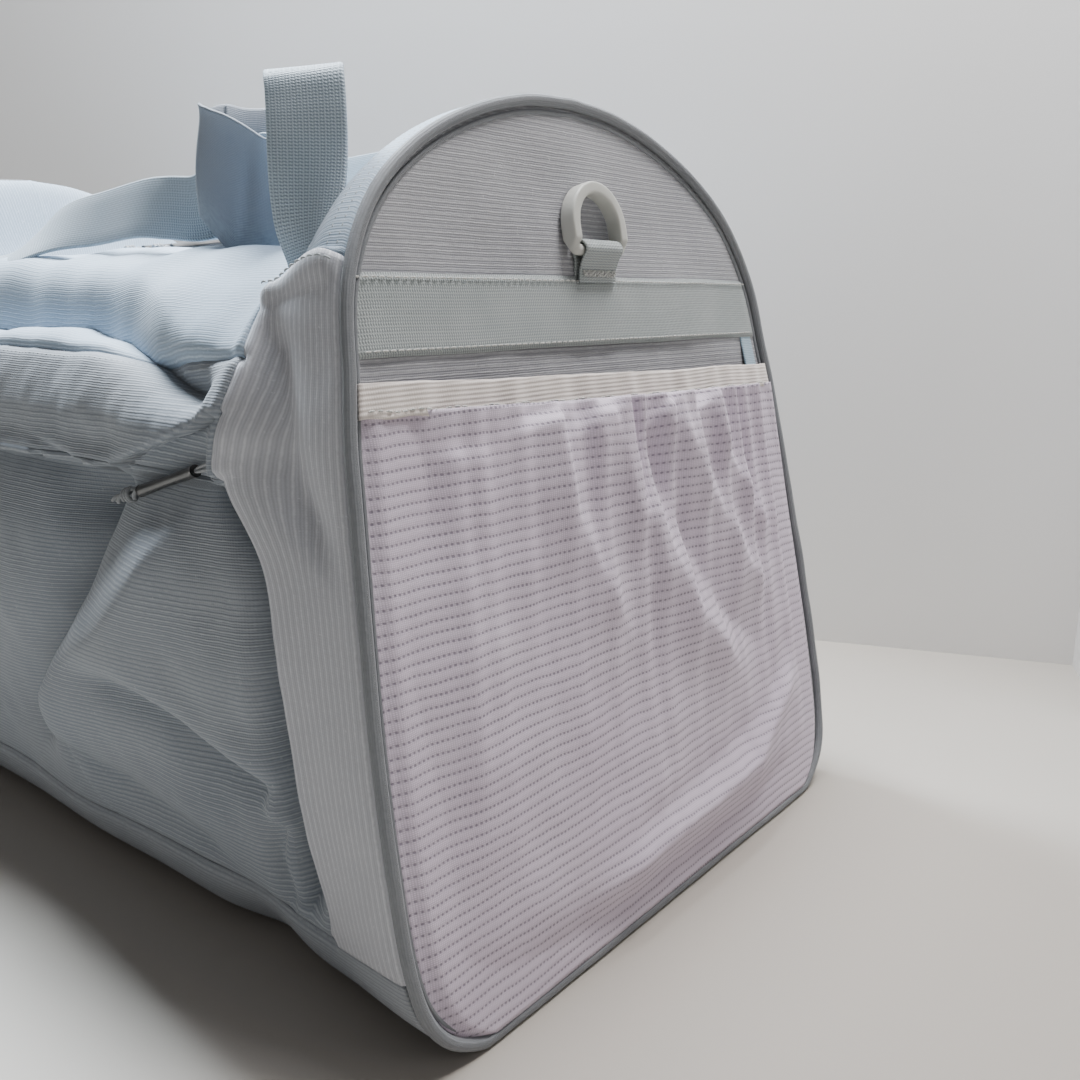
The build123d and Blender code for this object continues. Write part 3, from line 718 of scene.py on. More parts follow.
def tube(name, path, radius, sides=12, closed=False):
    """Tube along a path, with a rolling frame that doesn't twist."""
    path = np.asarray(path, float)
    count = len(path)
    if closed:
        tangents = np.roll(path, -1, 0) - np.roll(path, 1, 0)
    else:
        tangents = np.gradient(path, axis=0)
    tangents /= np.linalg.norm(tangents, axis=1)[:, None]
    start = np.cross(tangents[0], (0.0, 0.0, 1.0))
    if np.linalg.norm(start) < 0.2:
        start = np.cross(tangents[0], (0.0, 1.0, 0.0))
    normal = start / np.linalg.norm(start)
    radii = np.broadcast_to(radius, (count,))
    run = lengths(path)
    verts = []
    uvs = []
    for i in range(count):
        normal = normal - tangents[i] * np.dot(normal, tangents[i])
        normal /= np.linalg.norm(normal)
        binormal = np.cross(tangents[i], normal)
        for k in range(sides):
            a = 2 * math.pi * k / sides
            verts.append(path[i] + radii[i] * (math.cos(a) * normal + math.sin(a) * binormal))
            uvs.append((run[i], a * radii[i]))
    faces = grid_faces(count, sides, wrap_rows=closed, wrap_cols=True)
    if not closed:
        faces.append(tuple(range(sides))[::-1])
        faces.append(tuple((count - 1) * sides + k for k in range(sides)))
    return mesh_from(name, verts, faces, uvs)


CORD_RADIUS, EDGE_RADIUS = 2.1, 0.95
EDGE_INSET = 4.1  # from the piping's outline in to the line of its seam allowance
EDGE_LOW = 4.6


def piping(end, name):
    """Covered cord round the edge, with the narrow seam allowance that shows beside it."""
    outline = resample(np.vstack([end_outline(), end_outline()[:1]]), 2.5)[:-1]
    centre = np.array([0.0, 150.0])
    towards = centre - outline
    towards /= np.linalg.norm(towards, axis=1)[:, None]
    cord_line = outline + towards * 0.3
    wobble = waves(outline[:, 0], outline[:, 1], 8, 34, 0.35)
    path = on_end(end, cord_line[:, 0], cord_line[:, 1], 1.6 + wobble)
    path[:, 2] = np.maximum(path[:, 2], CORD_RADIUS)
    cord = tube(name, path, CORD_RADIUS, 14, closed=True)
    inner = outline + towards * EDGE_INSET
    path = on_end(end, inner[:, 0], inner[:, 1], 0.55 + 0.5 * wobble)
    path[:, 2] = np.maximum(path[:, 2], EDGE_LOW)
    edge = tube("edge", path, EDGE_RADIUS, 10, closed=True)
    return join(name, [paint(cord, M_PIPING), paint(edge, M_PIPING)])


# Centre line of one stitch: how far each point rises, and how thick it is, in radii
STITCH = ((-1.0, 0.55), (0.0, 1.0), (0.25, 1.0), (0.0, 1.0), (-1.0, 0.55))
STITCH_RAISE = 0.15
ROW_RAISE = 0.45  # rows on an end panel's strips stand this far off them


def stitches(name, path, outward, pitch=3.0, long=2.1, radius=0.28):
    """Row of single stitches along a path; outward gives the surface's direction there."""
    run = lengths(path)
    count = int(run[-1] / pitch)
    verts = []
    faces = []
    sides = 6
    for s in range(count):
        middle = (s + 0.5) * pitch
        at = np.linspace(middle - long / 2, middle + long / 2, len(STITCH))
        line = np.stack([np.interp(at, run, path[:, k]) for k in range(3)], 1)
        up = np.array([np.interp(middle, run, outward[:, k]) for k in range(3)])
        up /= max(np.linalg.norm(up), 1e-6)
        ahead = line[-1] - line[0]
        ahead /= max(np.linalg.norm(ahead), 1e-6)
        across = np.cross(up, ahead)
        across /= max(np.linalg.norm(across), 1e-6)
        first = len(verts)
        for k, (rise, size) in enumerate(STITCH):
            centre = line[k] + up * (STITCH_RAISE + radius * rise)
            for q in range(sides):
                a = 2 * math.pi * q / sides
                verts.append(centre + radius * size * (math.cos(a) * across + math.sin(a) * up))
        for f in grid_faces(len(STITCH), sides, wrap_cols=True):
            faces.append(tuple(first + i for i in f))
        faces.append(tuple(first + q for q in range(sides))[::-1])
        faces.append(tuple(first + (len(STITCH) - 1) * sides + q for q in range(sides)))
    return mesh_from(name, verts, faces)


def ribbon(name, path, across, width, thick):
    """Flat webbing along a path; across gives the direction of its width at each point."""
    path = np.asarray(path, float)
    across = np.asarray(across, float)
    tangents = np.gradient(path, axis=0)
    tangents /= np.linalg.norm(tangents, axis=1)[:, None]
    across = across - tangents * np.sum(across * tangents, axis=1)[:, None]
    across /= np.linalg.norm(across, axis=1)[:, None]
    normal = np.cross(tangents, across)
    run = lengths(path)
    # section: a flat oblong with rounded edges, points (across, normal)
    section = []
    half = width / 2
    for side in (1, -1):
        for k in range(9):
            a = -side * math.pi / 2 + math.pi * k / 8
            section.append((side * (half - thick / 2) + thick / 2 * math.cos(a), thick / 2 * math.sin(a)))
        for s in (0.6, 0.2, -0.2, -0.6):
            section.append(((half - thick) * s * side, side * thick / 2))
    verts = []
    uvs = []
    for i in range(len(path)):
        for a, b in section:
            verts.append(path[i] + across[i] * a + normal[i] * b)
            uvs.append((run[i], a))
    cols = len(section)
    faces = grid_faces(len(path), cols, wrap_cols=True)
    faces.append(tuple(range(cols))[::-1])
    faces.append(tuple((len(path) - 1) * cols + k for k in range(cols)))
    return mesh_from(name, verts, faces, uvs)


BAND_LOW, BAND_HIGH = 217.0, 242.0
BAND_INSET = 2.6  # the strips' ends stop this far inside the outline


def woven_strip(name, end, low, high, inset, stand=0.0):
    """Flat strip across the end, whose ends tuck in under the piping."""
    s, t = np.meshgrid(np.linspace(-1, 1, 150), np.linspace(0, 1, 12), indexing="ij")
    low, high = (np.broadcast_to(edge, s[:, 0].shape)[:, None] for edge in (low, high))
    v = low + (high - low) * t
    y = s * (end_half_width(v) - inset)
    stand = np.broadcast_to(stand, s[:, 0].shape)[:, None]
    lift = END_LIFT + 0.4 + waves(y, y * 0, 15, 60, 0.7) + stand
    lift = lift - 0.9 * smoothstep(0.94, 1.0, np.abs(s))
    points = on_end(end, y, v + waves(y, y * 0, 12, 90, 0.8), lift)
    piece = thicken(grid_mesh(name, points, np.stack([y, v], -1), flip=end < 0), 1.2)
    middle = y[:, 6] * 0.985
    return middle, lift[:, 6], piece


def band(end, name):
    """Webbing sewn flat across the end, with a row of stitches near each edge."""
    y, lift, piece = woven_strip(name, end, BAND_LOW, BAND_HIGH, BAND_INSET)
    rows = []
    for edge in (BAND_LOW + 1.6, BAND_HIGH - 1.6):
        line = on_end(end, y, edge, lift + ROW_RAISE)
        out = np.broadcast_to(end_frame(end)[3], line.shape)
        rows.append(paint(stitches("row", line, out, 3.2, 2.3, 0.33), M_THREAD_PALE))
    return piece, join(name + "_stitches", rows)


for end_name, end in ENDS:
    panel = settle(end_panel(end, "end_cloth_" + end_name), M_END, "root", ["end_panel_" + end_name])
    settle(piping(end, "piping_cord_" + end_name), M_PIPING, "root", ["piping_" + end_name])
    web, rows = band(end, "band_" + end_name)
    settle(web, M_BAND, "root", ["webbing_band_" + end_name])
    settle(rows, M_THREAD_PALE, "root")

# --- pieces on the skin -------------------------------------------------------------------------


def skin_line(side, base, key):
    """Line on the skin and the direction out of it, for arrays of base and key."""
    base, key = np.broadcast_arrays(np.asarray(base, float), np.asarray(key, float))
    here = skin_point(base, key, side)
    along = skin_point(base + 1.0, key, side) - here
    around = skin_point(base, key + 0.05, side) - here
    out = np.cross(along, around)
    out /= np.maximum(np.linalg.norm(out, axis=1)[:, None], 1e-6)
    flip = np.where(out[:, 1] * side < 0, -1.0, 1.0)
    flat = np.abs(out[:, 1]) < 0.35
    flip = np.where(flat, np.where(out[:, 2] < 0, -1.0, 1.0), flip)
    return here, out * flip[:, None]


def seam_row(side, base, key, lift=0.5, **sizes):
    path, out = skin_line(side, base, key)
    return paint(stitches("row", path + out * lift, out, **sizes), M_THREAD)


def make_seams():
    """Topstitching beside the long seams and at the gussets' hems."""
    along = np.linspace(-SEAM + 3, SEAM - 3, 230)
    longer = np.linspace(-HALF + 4, HALF - 4, 270)
    rows = []
    for side in (-1, 1):
        rows.append(seam_row(side, along, KEY_SEAM - 0.16))
        rows.append(seam_row(side, longer, KEY_BOTTOM - 0.17))
        rows.append(seam_row(side, longer, KEY_BOTTOM - 0.42))
    settle(join("long_seam_stitches", rows), M_THREAD, "root")
    rows = []
    crown = np.linspace(KEY_HEM + 0.1, KEY_CROWN - 0.1, 90)
    up = np.linspace(KEY_BOTTOM + 0.1, KEY_HEM - 0.2, 110)
    for end in (-1, 1):
        base = end * np.linspace(SEAM + 2, HALF - 3, 24)
        for side in (-1, 1):
            rows.append(seam_row(side, base, KEY_HEM - 0.10, lift=2.4, radius=0.36, pitch=3.4, long=2.6))
            for inset in (5.0, 9.5):
                rows.append(seam_row(side, end * (HALF - inset), crown, lift=0.5, radius=0.33, long=2.2))
            rows.append(seam_row(side, end * (SEAM + 2.6), up, lift=0.4, radius=0.2, long=1.6))
    settle(join("gusset_stitches", rows), M_THREAD, "root")


make_seams()

# --- mesh pocket ---------------------------------------------------------------------------------

RIM_LEFT, RIM_RIGHT = 200.0, 194.0  # the pocket's rim, where the elastic is sewn on, at y < 0 and y > 0
ELASTIC = 10.5
POCKET_LOW = 3.5
# Folds of the mesh pocket: a line of (y, v), its height, its two widths, its fades and its power
POCKET_FOLDS = (
    (((-22, 198), (-8, 160), (22, 110), (70, 60)), 6.5, 11, 14, (0.05, 0.35), 1.5),
    (((20, 196), (38, 165), (70, 120), (104, 92)), 5.5, 9, 12, (0.05, 0.35), 1.5),
    (((-52, 196), (-46, 160), (-30, 126), (-10, 96)), 5.0, 9, 12, (0.05, 0.4), 1.5),
    (((50, 194), (62, 170), (88, 140), (108, 122)), 4.5, 7, 9, (0.05, 0.35), 1.5),
    (((-92, 190), (-96, 150), (-104, 80), (-110, 40)), 3.0, 12, 9, (0.05, 0.35), 1.5),
    (((4, 190), (20, 150), (50, 104), (96, 70)), -3.4, 8, 8, (0.1, 0.3), 1.6),
    (((-70, 22), (-10, 28), (60, 34), (116, 64)), 4.5, 7, 9, (0.2, 0.1), 1.5),
    (((-40, 36), (20, 42), (80, 52), (118, 84)), -2.0, 7, 7, (0.2, 0.1), 1.5),
)


def rim_height(s):
    """Height of the rim along the panel for a share across it, -1 to 1."""
    return RIM_LEFT + (RIM_RIGHT - RIM_LEFT) * (s + 1) / 2 - 1.5 * (1 - s * s)


def rim_off(s):
    """How far the rim stands off the panel."""
    return 2.4 + 5.0 * (1 - s * s) ** 0.8


def pocket_sheet():
    """Mesh of the pocket: slack, gathered under the elastic, with folds that run down from it."""
    cols, rows = 190, 150
    s, t = np.meshgrid(np.linspace(-1, 1, cols), np.linspace(0, 1, rows), indexing="ij")
    v = POCKET_LOW + (rim_height(s) + 1.0 - POCKET_LOW) * t
    y = s * (end_half_width(v) - 3.6)
    edge = 1 - np.abs(s) ** 5
    low = smoothstep(0, 0.16, t)
    belly = 7.5 * low * (1 - 0.55 * t) * (1 - s * s) ** 0.5 + rim_off(s) * t**1.5
    n = 1.2 + belly * np.clip(edge * 1.15, 0, 1) ** 0.6
    # the cloth under the elastic is gathered towards the far side
    gather = (0.35 + 0.65 * smoothstep(-0.55, 0.0, s)) * np.exp(-(((1 - t) / 0.34) ** 1.3))
    gather = gather * smoothstep(-0.98, -0.6, s)
    n = n + gather * (2.6 * np.sin(s * 46 + 1.4 * np.sin(s * 9)) + 0.9 * np.sin(s * 83 + 1))
    light_gather = np.exp(-(((1 - t) / 0.12) ** 1.5))
    n = n + light_gather * 0.5 * np.sin(s * 60)
    n = n - 5.0 * np.exp(-(((s + 0.9) / 0.1) ** 2)) * np.exp(-(((t - 0.9) / 0.09) ** 2))
    for line, *shape in POCKET_FOLDS:
        n = n + edge * fold(y, v, line, *shape)
    n = n + edge * waves(y, v, 31, 70, 1.8) * low + edge * waves(y, v, 33, 24, 0.5)
    n = np.clip(n, 3.0 * smoothstep(0, 0.05, 1 - np.abs(s)) + 0.8, 17)
    return grid_mesh("pocket_mesh_sheet", on_end(1, y, v, n), np.stack([y, v], -1))


def elastic_band():
    """Elastic along the rim, ruffled by the pull of the gathers, with its row of stitches."""
    s = np.linspace(-1, 1, 150)
    low = rim_height(s) - 0.5 + 0.35 * np.sin(s * 50)
    ruffle = 0.4 * np.sin(s * 60) + 0.35 * np.sin(s * 37 + 1)
    high = rim_height(s) + ELASTIC - 0.5
    y, lift, piece = woven_strip("elastic_rim", 1, low, high, BAND_INSET, rim_off(s) - 0.4 + ruffle)
    line = on_end(1, y, low + 1.7, lift + ROW_RAISE)
    out = np.broadcast_to(end_frame(1)[3], line.shape)
    rows = stitches("elastic_rim_stitches", line, out, 3.0, 2.2, 0.33)
    return piece, rows


sheet = settle(thicken(pocket_sheet(), 0.5), M_MESH, "root", ["mesh_pocket"])
elastic, elastic_rows = elastic_band()
settle(elastic, M_ELASTIC, "root", ["pocket_elastic"])
settle(elastic_rows, M_THREAD_PALE, "root")

tab_v = np.linspace(BAND_LOW + 1.0, 201.0, 12)
tab_path = on_end(1, 111.5, tab_v, np.linspace(0.6, 2.4, 12))
tab = ribbon("tape_tab_strip", tab_path, np.broadcast_to(end_frame(1)[1], tab_path.shape), 9.0, 0.9)
settle(tab, M_TAB, "root", ["tape_tab"])

# --- D-rings and their loops ----------------------------------------------------------------------

D_AXIS_V, D_AXIS_N = 251.0, 5.0
D_HALF, D_SHOULDER = 16.5, 8.0
D_RADIAL, D_DEPTH = 4.4, 6.4
D_BAR = 4.2
D_CORNER = 2.2


def d_ring(end, name):
    """Moulded D with a flat face and rounded edges."""
    side_x = D_HALF - D_RADIAL / 2
    bow = [side_x * np.array([math.cos(a), math.sin(a)]) for a in np.linspace(0, math.pi, 40)]
    line = [(p[0], D_AXIS_V + D_SHOULDER + p[1]) for p in bow]
    for side, turn in ((-1, 1.0), (1, 1.5)):
        for a in np.linspace(turn * math.pi, (turn + 0.5) * math.pi, 6):
            across = side * (side_x - D_CORNER) + D_CORNER * math.cos(a)
            line.append((across, D_AXIS_V + D_CORNER + D_CORNER * math.sin(a)))
    line = resample(np.array(line + [line[0]]), 0.7)[:-1]
    count = len(line)
    tangents = np.roll(line, -1, 0) - np.roll(line, 1, 0)
    tangents /= np.linalg.norm(tangents, axis=1)[:, None]
    outward = np.stack([tangents[:, 1], -tangents[:, 0]], 1)
    verts = []
    sides = 28
    on_bar = 1 - smoothstep(0.6, 4.0, line[:, 1] - D_AXIS_V)
    for i in range(count):
        radial = D_RADIAL * (1 - on_bar[i]) + D_BAR * on_bar[i]
        depth = D_DEPTH * (1 - on_bar[i]) + D_BAR * on_bar[i]
        square = 0.3 * (1 - on_bar[i]) + 1.0 * on_bar[i]
        for k in range(sides):
            a = 2 * math.pi * (k + 0.5) / sides
            ca, sa = math.cos(a), math.sin(a)
            r = radial / 2 * math.copysign(abs(ca) ** square, ca)
            d = depth / 2 * math.copysign(abs(sa) ** square, sa)
            y, v = line[i] + outward[i] * r
            verts.append(on_end(end, y, v, D_AXIS_N + d))
    return mesh_from(name, verts, grid_faces(count, sides, True, True))


def ring_loop(end, name):
    """Webbing loop: up from under the band, over the bar and down again."""
    points = [(BAND_HIGH - 3, 0.9), (BAND_HIGH + 1.5, 1.4), (D_AXIS_V - 3, 2.2)]
    for a in np.linspace(-2.4, 2.4, 9)[1:-1]:
        points.append((D_AXIS_V + 3.3 * math.cos(a), D_AXIS_N + 3.3 * math.sin(a)))
    points += [(D_AXIS_V - 3, 6.2), (BAND_HIGH + 2.0, 3.9), (BAND_HIGH - 2.5, 2.9)]
    line = resample(catmull(points, 6), 0.8)
    path = on_end(end, 0.0 * line[:, 0], line[:, 0], line[:, 1])
    piece = ribbon(name, path, np.broadcast_to(end_frame(end)[1], path.shape), 22.5, 1.1)
    y = np.linspace(-10.2, 10.2, 60)
    zigzag = on_end(end, y, BAND_HIGH + 0.6 + 1.1 * np.sign(np.sin(y * 4.2)), 4.5)
    out = np.broadcast_to(end_frame(end)[3], zigzag.shape)
    rows = stitches(name + "_bartack", zigzag, out, 1.5, 1.4, 0.3)
    return piece, rows


for end_name, end, body in (("right", 1, "d_ring_r"), ("left", -1, "d_ring_l")):
    settle(d_ring(end, "ring_" + end_name), M_RING, body, ["d_ring_" + end_name])
    loop, rows = ring_loop(end, "ring_loop_" + end_name)
    settle(loop, M_BAND, "root", ["d_ring_loop_" + end_name])
    settle(rows, M_THREAD_PALE, "root")

# --- handles ----------------------------------------------------------------------------------------


def strap(name, keys):
    """Webbing strap through (x, y, z) keys; each key also has the direction of its width."""
    points = catmull([k[:3] for k in keys], 14)
    across = catmull([k[3:] for k in keys], 14)
    line = resample(np.hstack([points, across]), 1.5)
    return ribbon(name, line[:, :3], line[:, 3:], WEB, 1.7)


FRONT_KEYS = (
    (191, -113.5, 229, 1, -0.05, 0.1),
    (193, -109.5, 240, 0.98, -0.19, 0.05),
    (190.5, -107, 256, 0.9, 0.3, 0),
    (189.5, -105, 274, 0.775, 0.632, 0),
    (188, -103.5, 289, 0.775, 0.632, 0.05),
    (184.5, -101, 298.5, 0.78, 0.62, 0.08),
    (173, -91.5, 300.5, 0.76, 0.64, 0.1),
    (150, -72, 295, 0.74, 0.66, 0.1),
    (129, -57, 289, 0.76, 0.64, 0.1),
    (114, -56.5, 283, 0.775, 0.632, 0),
    (107, -60.5, 274, 0.74, 0.6, -0.3),
    (92, -71, 267.5, 0.4, 0.36, -0.84),
    (80, -74, 265, 0.1, 0.05, -0.99),
    (64, -76.5, 266, 0, -0.12, -0.99),
    (46, -78, 266.5, 0, -0.28, -0.96),
    (16, -79, 264, 0, -0.35, -0.93),
    (-12, -83, 261, 0, -0.52, -0.85),
    (-36, -89, 252, 0, -0.75, -0.65),
    (-64, -93, 244.5, 0, -0.86, -0.5),
    (-108, -98, 243, 0, -0.86, -0.5),
    (-150, -102, 242.5, 0.1, -0.85, -0.5),
    (-176, -105.5, 241.5, 0.6, -0.6, -0.5),
    (-190, -110, 238, 1, -0.1, -0.1),
    (-197, -114.5, 229, 1, 0.1, 0.1),
)
BACK_KEYS = (
    (191, 113.5, 229, 1, 0, 0.1),
    (189, 110, 240, 1, 0, 0.2),
    (186, 105, 258, 1, 0, 0.35),
    (176, 102, 276, 0.8, 0, 0.8),
    (150, 100, 289, 0.35, 0.1, 1),
    (100, 99, 296, 0.1, 0.15, 1),
    (40, 98, 299, 0, 0.2, 1),
    (-20, 98, 298, 0, 0.25, 1),
    (-90, 100, 294, -0.1, 0.2, 1),
    (-150, 101, 287, -0.35, 0.1, 1),
    (-177, 103, 274, -0.8, 0, 0.8),
    (-187, 106, 257, -1, 0, 0.35),
    (-190, 110, 240, -1, 0, 0.2),
    (-193, 113.5, 229, -1, 0, 0.1),
)


def grip_sleeve(name):
    """Fabric sleeve on the handle, a flat tube that gapes at its ends, cut slantwise by its creases."""
    rows, cols = 60, 96
    top = np.array([106.0, -66.5, 0.0])
    low = np.array([102.0, -66.0, 0.0])
    wide = np.array([0.775, 0.632, 0.0])
    deep = np.array([0.632, -0.775, 0.0])
    verts = []
    uvs = []
    for i in range(rows):
        t = i / (rows - 1)
        centre = low + (top - low) * t
        half_wide = 17.0 - 2.2 * t + 0.8 * math.sin(3.0 * t)
        half_deep = 4.0 + 6.0 * t**2.5 + 1.2 * (1 - t) ** 4
        for j in range(cols):
            # the tube is wrapped from a flat piece, one edge lying over the other
            a = -2.2 + (2 * math.pi + 0.5) * j / (cols - 1)
            over = 1.2 * j / (cols - 1)
            across = math.copysign(abs(math.cos(a)) ** 0.75, math.cos(a))
            near = math.copysign(abs(math.sin(a)) ** 0.9, math.sin(a))
            low_edge = 246.0 + 16.0 * max(0.0, (-across - 0.25) / 0.75) ** 1.2
            near_cut = 300.0 - 9.0 * max(0.0, across + 0.7)
            top_edge = near_cut * (0.5 + 0.5 * near) + 303.0 * (0.5 - 0.5 * near) + 0.8 * math.sin(5 * a)
            lip = 1.6 * t**14
            crease = 0.9 * math.exp(-(((across + 0.15 - 0.5 * t) / 0.12) ** 2)) * math.sin(math.pi * t)
            x = (half_wide + over + lip) * across + 1.0 * math.sin(4 * t + a)
            y = (half_deep + over + lip - crease) * near
            place = centre + wide * x + deep * y
            place[2] = low_edge + (top_edge - low_edge) * t
            verts.append(place)
            uvs.append((a * 15.0, t * 56.0))
    piece = mesh_from(name, verts, grid_faces(rows, cols), uvs)
    return thicken(piece, 1.1, 0.0)


front_strap = strap("front_strap", FRONT_KEYS)
settle(front_strap, M_WEB, None,
       ["handle_front", "handle_foot_front_right", "handle_foot_front_left"])
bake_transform(front_strap)
back_strap = strap("back_strap", BACK_KEYS)
settle(back_strap, M_WEB, None,
       ["handle_back", "handle_foot_back_right", "handle_foot_back_left"])
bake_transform(back_strap)
sleeve = settle(grip_sleeve("grip_sleeve"), M_GRIP, "front_handle", ["handle_grip"])

# --- zips, sliders and pulls ----------------------------------------------------------------------------


def coil(name, start, end, out, across):
    """Nylon coil of a closed zip: loops that reach over from both tapes in turn."""
    start, end, out, across = (np.array(p, float) for p in (start, end, out, across))
    run = np.linalg.norm(end - start)
    pitch = 1.5
    turns = int(run / pitch)
    t = np.linspace(0, turns, turns * 10)
    side = np.cos(t * 2 * math.pi)
    rise = np.sin(t * 2 * math.pi)
    path = start + (end - start) * (t / turns)[:, None]
    path = path + across * (2.3 * side)[:, None] + out * (0.75 * rise)[:, None]
    return tube(name, path, 0.42, 6)


def tape_strips(start, end, across, offset, width):
    """The two tapes of a zip, side by side."""
    start, end, across = (np.array(p, float) for p in (start, end, across))
    strips = []
    for side in (-1, 1):
        path = start + (end - start) * np.linspace(0, 1, 40)[:, None] + across * side * offset
        strips.append(paint(ribbon("strip", path, np.broadcast_to(across, path.shape), width, 0.8), M_TAPE))
    return strips


ZIP_Z = 252.6
ZIP_X = 172.0
TAPE_DROP = 0.7  # the tapes lie this far below the coil
zip_ends = [(x, 0, ZIP_Z - TAPE_DROP) for x in (-ZIP_X, ZIP_X)]
for side, strip in zip(("front", "back"), tape_strips(*zip_ends, (0, 1, 0), 5.2, 5.6)):
    strip.name = "main_tape_" + side
    settle(strip, M_TAPE, "root", ["main_zip_tape_" + side])
main_coil = coil("main_coil", (-ZIP_X, 0, ZIP_Z), (ZIP_X, 0, ZIP_Z), (0, 0, 1), (0, 1, 0))
settle(main_coil, M_COIL, "root", ["main_zip_coil"])

POCKET_Z = 180.0
POCKET_ZIP_Y = -129.6
POCKET_ENDS = (-191.0, 182.0)
zip_ends = [(x, POCKET_ZIP_Y + TAPE_DROP, POCKET_Z) for x in POCKET_ENDS]
strips = tape_strips(*zip_ends, (0, 0, 1), 4.4, 5.0)
settle(join("pocket_tape", strips), M_TAPE, "root", ["pocket_zip_tape"])
zip_ends = [(x, POCKET_ZIP_Y, POCKET_Z) for x in POCKET_ENDS]
pocket_coil = coil("pocket_coil", *zip_ends, (0, -1, 0), (0, 0, 1))
settle(pocket_coil, M_COIL, "root", ["pocket_zip_coil"])


def pull(prefix, pivot, along, out, cord_run, tube_run, knot_run, body, nodes):
    """Zip pull: a doubled cord through the slider, a shrunk tube over it and a knotted twist."""
    pivot, along, out = (np.array(p, float) for p in (pivot, along, out))
    along /= np.linalg.norm(along)
    out = out - along * np.dot(out, along)
    out /= np.linalg.norm(out)
    across = np.cross(along, out)
    behind = 1.6  # the cord's loop starts this far behind the pivot
    loop = []
    for a in np.linspace(0, 2 * math.pi, 40):
        spread = 1.5 * math.sin(a) * (1.0 if math.cos(a) < 0 else 0.75)
        place = (cord_run + behind) * (0.5 - 0.5 * math.cos(a)) - behind
        loop.append(pivot + along * place + across * spread * 0.55 + out * 0.12 * math.sin(2 * a))
    strand = tube(prefix + "_cord", loop, 0.62, 10)
    line = np.array([pivot + along * d for d in np.linspace(cord_run, cord_run + tube_run, 30)])
    radii = 1.9 + 0.25 * np.abs(np.linspace(-1, 1, 30)) ** 8 + 0.12 * np.sin(np.linspace(0, 9, 30))
    sleeve = tube(prefix + "_tube", line, radii, 18)
    parts = []
    root = pivot + along * (cord_run + tube_run)
    for k in range(2):
        turn = np.linspace(0, 1, 60)
        phase = math.pi * k
        swell = 1.0 + 1.35 * np.exp(-(((turn - 0.38) / 0.2) ** 2)) + 0.5 * np.exp(-(((turn - 0.8) / 0.1) ** 2))
        a = phase + turn * 11.0
        path = root + along * (turn * knot_run - 0.5)[:, None]
        path = path + across * (0.75 * swell * np.cos(a))[:, None] + out * (0.75 * swell * np.sin(a))[:, None]
        parts.append(paint(tube("strand", path, 0.85 * (1 - 0.25 * turn**6), 10), M_CORD))
    wrap = np.linspace(0, 1, 50)
    ring = root + along * (knot_run * (0.28 + 0.2 * wrap))[:, None]
    ring = ring + across * (2.15 * np.cos(wrap * 15))[:, None] + out * (2.15 * np.sin(wrap * 15))[:, None]
    parts.append(paint(tube("strand", ring, 0.8, 10), M_CORD))
    knot = join(prefix + "_knot", parts)
    settle(strand, M_CORD, body, [nodes[0]])
    settle(sleeve, M_TUBE, body, [nodes[1]])
    settle(knot, M_CORD, body, [nodes[2]])


def pull_nodes(prefix, suffix=""):
    """The CAD nodes of a pull: its cord, its tube and its knot."""
    return [prefix + "_" + part + suffix for part in ("cord", "tube", "knot")]


PULL_TILT = math.radians(7)
for end_name, x, body in (("right", 12, "main_pull_r"), ("left", -12, "main_pull_l")):
    pull("main_" + end_name, (x, 0, 258.03), (0, -math.cos(PULL_TILT), -math.sin(PULL_TILT)), (0, 0, 1),
         14.0, 30.0, 18.0, body, pull_nodes("main_pull", "_" + end_name))
POCKET_TILT = math.radians(17)
pull("pocket", (176, -135.1, POCKET_Z), (-math.cos(POCKET_TILT), 0, -math.sin(POCKET_TILT)), (0, -1, 0),
     14.0, 36.0, 20.0, "front_pull", pull_nodes("pocket_pull"))
for node in ("main_slider_right", "main_slider_left", "pocket_slider"):
    paint(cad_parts[node], M_SLIDER)
paint(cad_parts["base_board"], M_BOARD)
paint(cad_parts["front_pocket_lining"], M_LINING)

# --- camera, light, floor ------------------------------------------------------------------------

CAMERA_PLACE = (0.459, -0.322, 0.2304)
CAMERA_AZIMUTH = math.radians(39.2)
CAMERA_PITCH = math.radians(-13.13)
LENS = 34.57


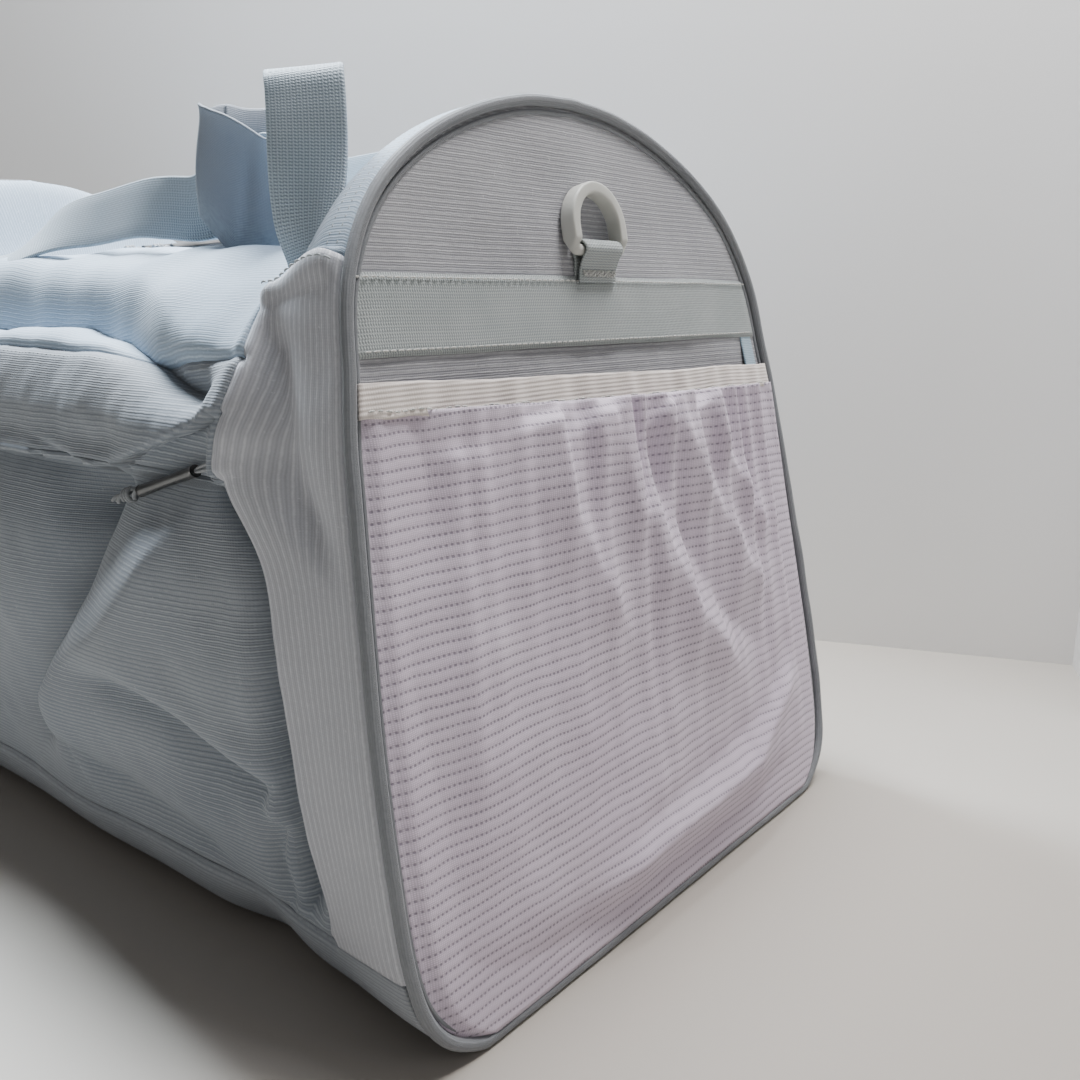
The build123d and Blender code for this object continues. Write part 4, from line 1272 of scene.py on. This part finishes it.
def make_camera():
    data = bpy.data.cameras.new("camera")
    data.lens = LENS
    data.sensor_width = 36.0
    camera = bpy.data.objects.new("camera", data)
    camera.location = CAMERA_PLACE
    camera.rotation_euler = (math.pi / 2 + CAMERA_PITCH, 0.0, CAMERA_AZIMUTH)
    bpy.context.scene.collection.objects.link(camera)
    bpy.context.scene.camera = camera


def area_light(name, place, target, size, power, colour):
    data = bpy.data.lights.new(name, "AREA")
    data.shape = "DISK"
    data.size = size
    data.energy = power
    data.color = colour
    light = bpy.data.objects.new(name, data)
    light.location = place
    aim = Vector(target) - Vector(place)
    light.rotation_euler = aim.to_track_quat("-Z", "Y").to_euler()
    bpy.context.scene.collection.objects.link(light)


FLOOR_HALF = 9000
WALL_TALL = 700
WALL_PLAN = ((-900, -85), (325, 385), (366, 287))
WORLD_COLOUR, WORLD_STRENGTH = (0.96, 0.94, 0.94, 1), 0.165


def make_room():
    """Floor and two walls, which aren't part of the bag, with the soft light on them."""
    corners = [(x * FLOOR_HALF, y * FLOOR_HALF, 0) for x, y in ((-1, -1), (1, -1), (1, 1), (-1, 1))]
    floor = mesh_from("floor", corners, [(0, 1, 2, 3)], smooth=False)
    paint(floor, wall_material("floor_paint", "B3ADA5", 0.6, 3.0))
    verts = [(x, y, z) for z in (0, WALL_TALL) for x, y in WALL_PLAN]
    wall = mesh_from("wall", verts, [(0, 1, 4, 3), (1, 2, 5, 4)], smooth=False)
    paint(wall, one_sided(wall_material("wall_paint", "E4E2E0", 0.7, 2.0)))
    world = bpy.data.worlds.new("world")
    world.use_nodes = True
    background = world.node_tree.nodes["Background"]
    background.inputs[0].default_value = WORLD_COLOUR
    background.inputs[1].default_value = WORLD_STRENGTH
    bpy.context.scene.world = world
    area_light("window", (-0.62, 0.14, 1.2), (0.0, 0.0, 0.12), 0.35, 46, (0.82, 0.92, 1.0))
    area_light("glow", (0.05, 0.08, 0.98), (0.0, 0.2, 0.3), 0.3, 10, (0.93, 0.96, 1.0))
    area_light("fill", (1.25, 0.12, 0.7), (0.27, 0.0, 0.14), 0.6, 1.3, (1.0, 0.97, 0.97))
    area_light("ceiling", (0.42, 0.22, 1.1), (0.3, 0.05, 0.1), 0.3, 11, (1.0, 0.97, 0.95))


make_camera()
make_room()
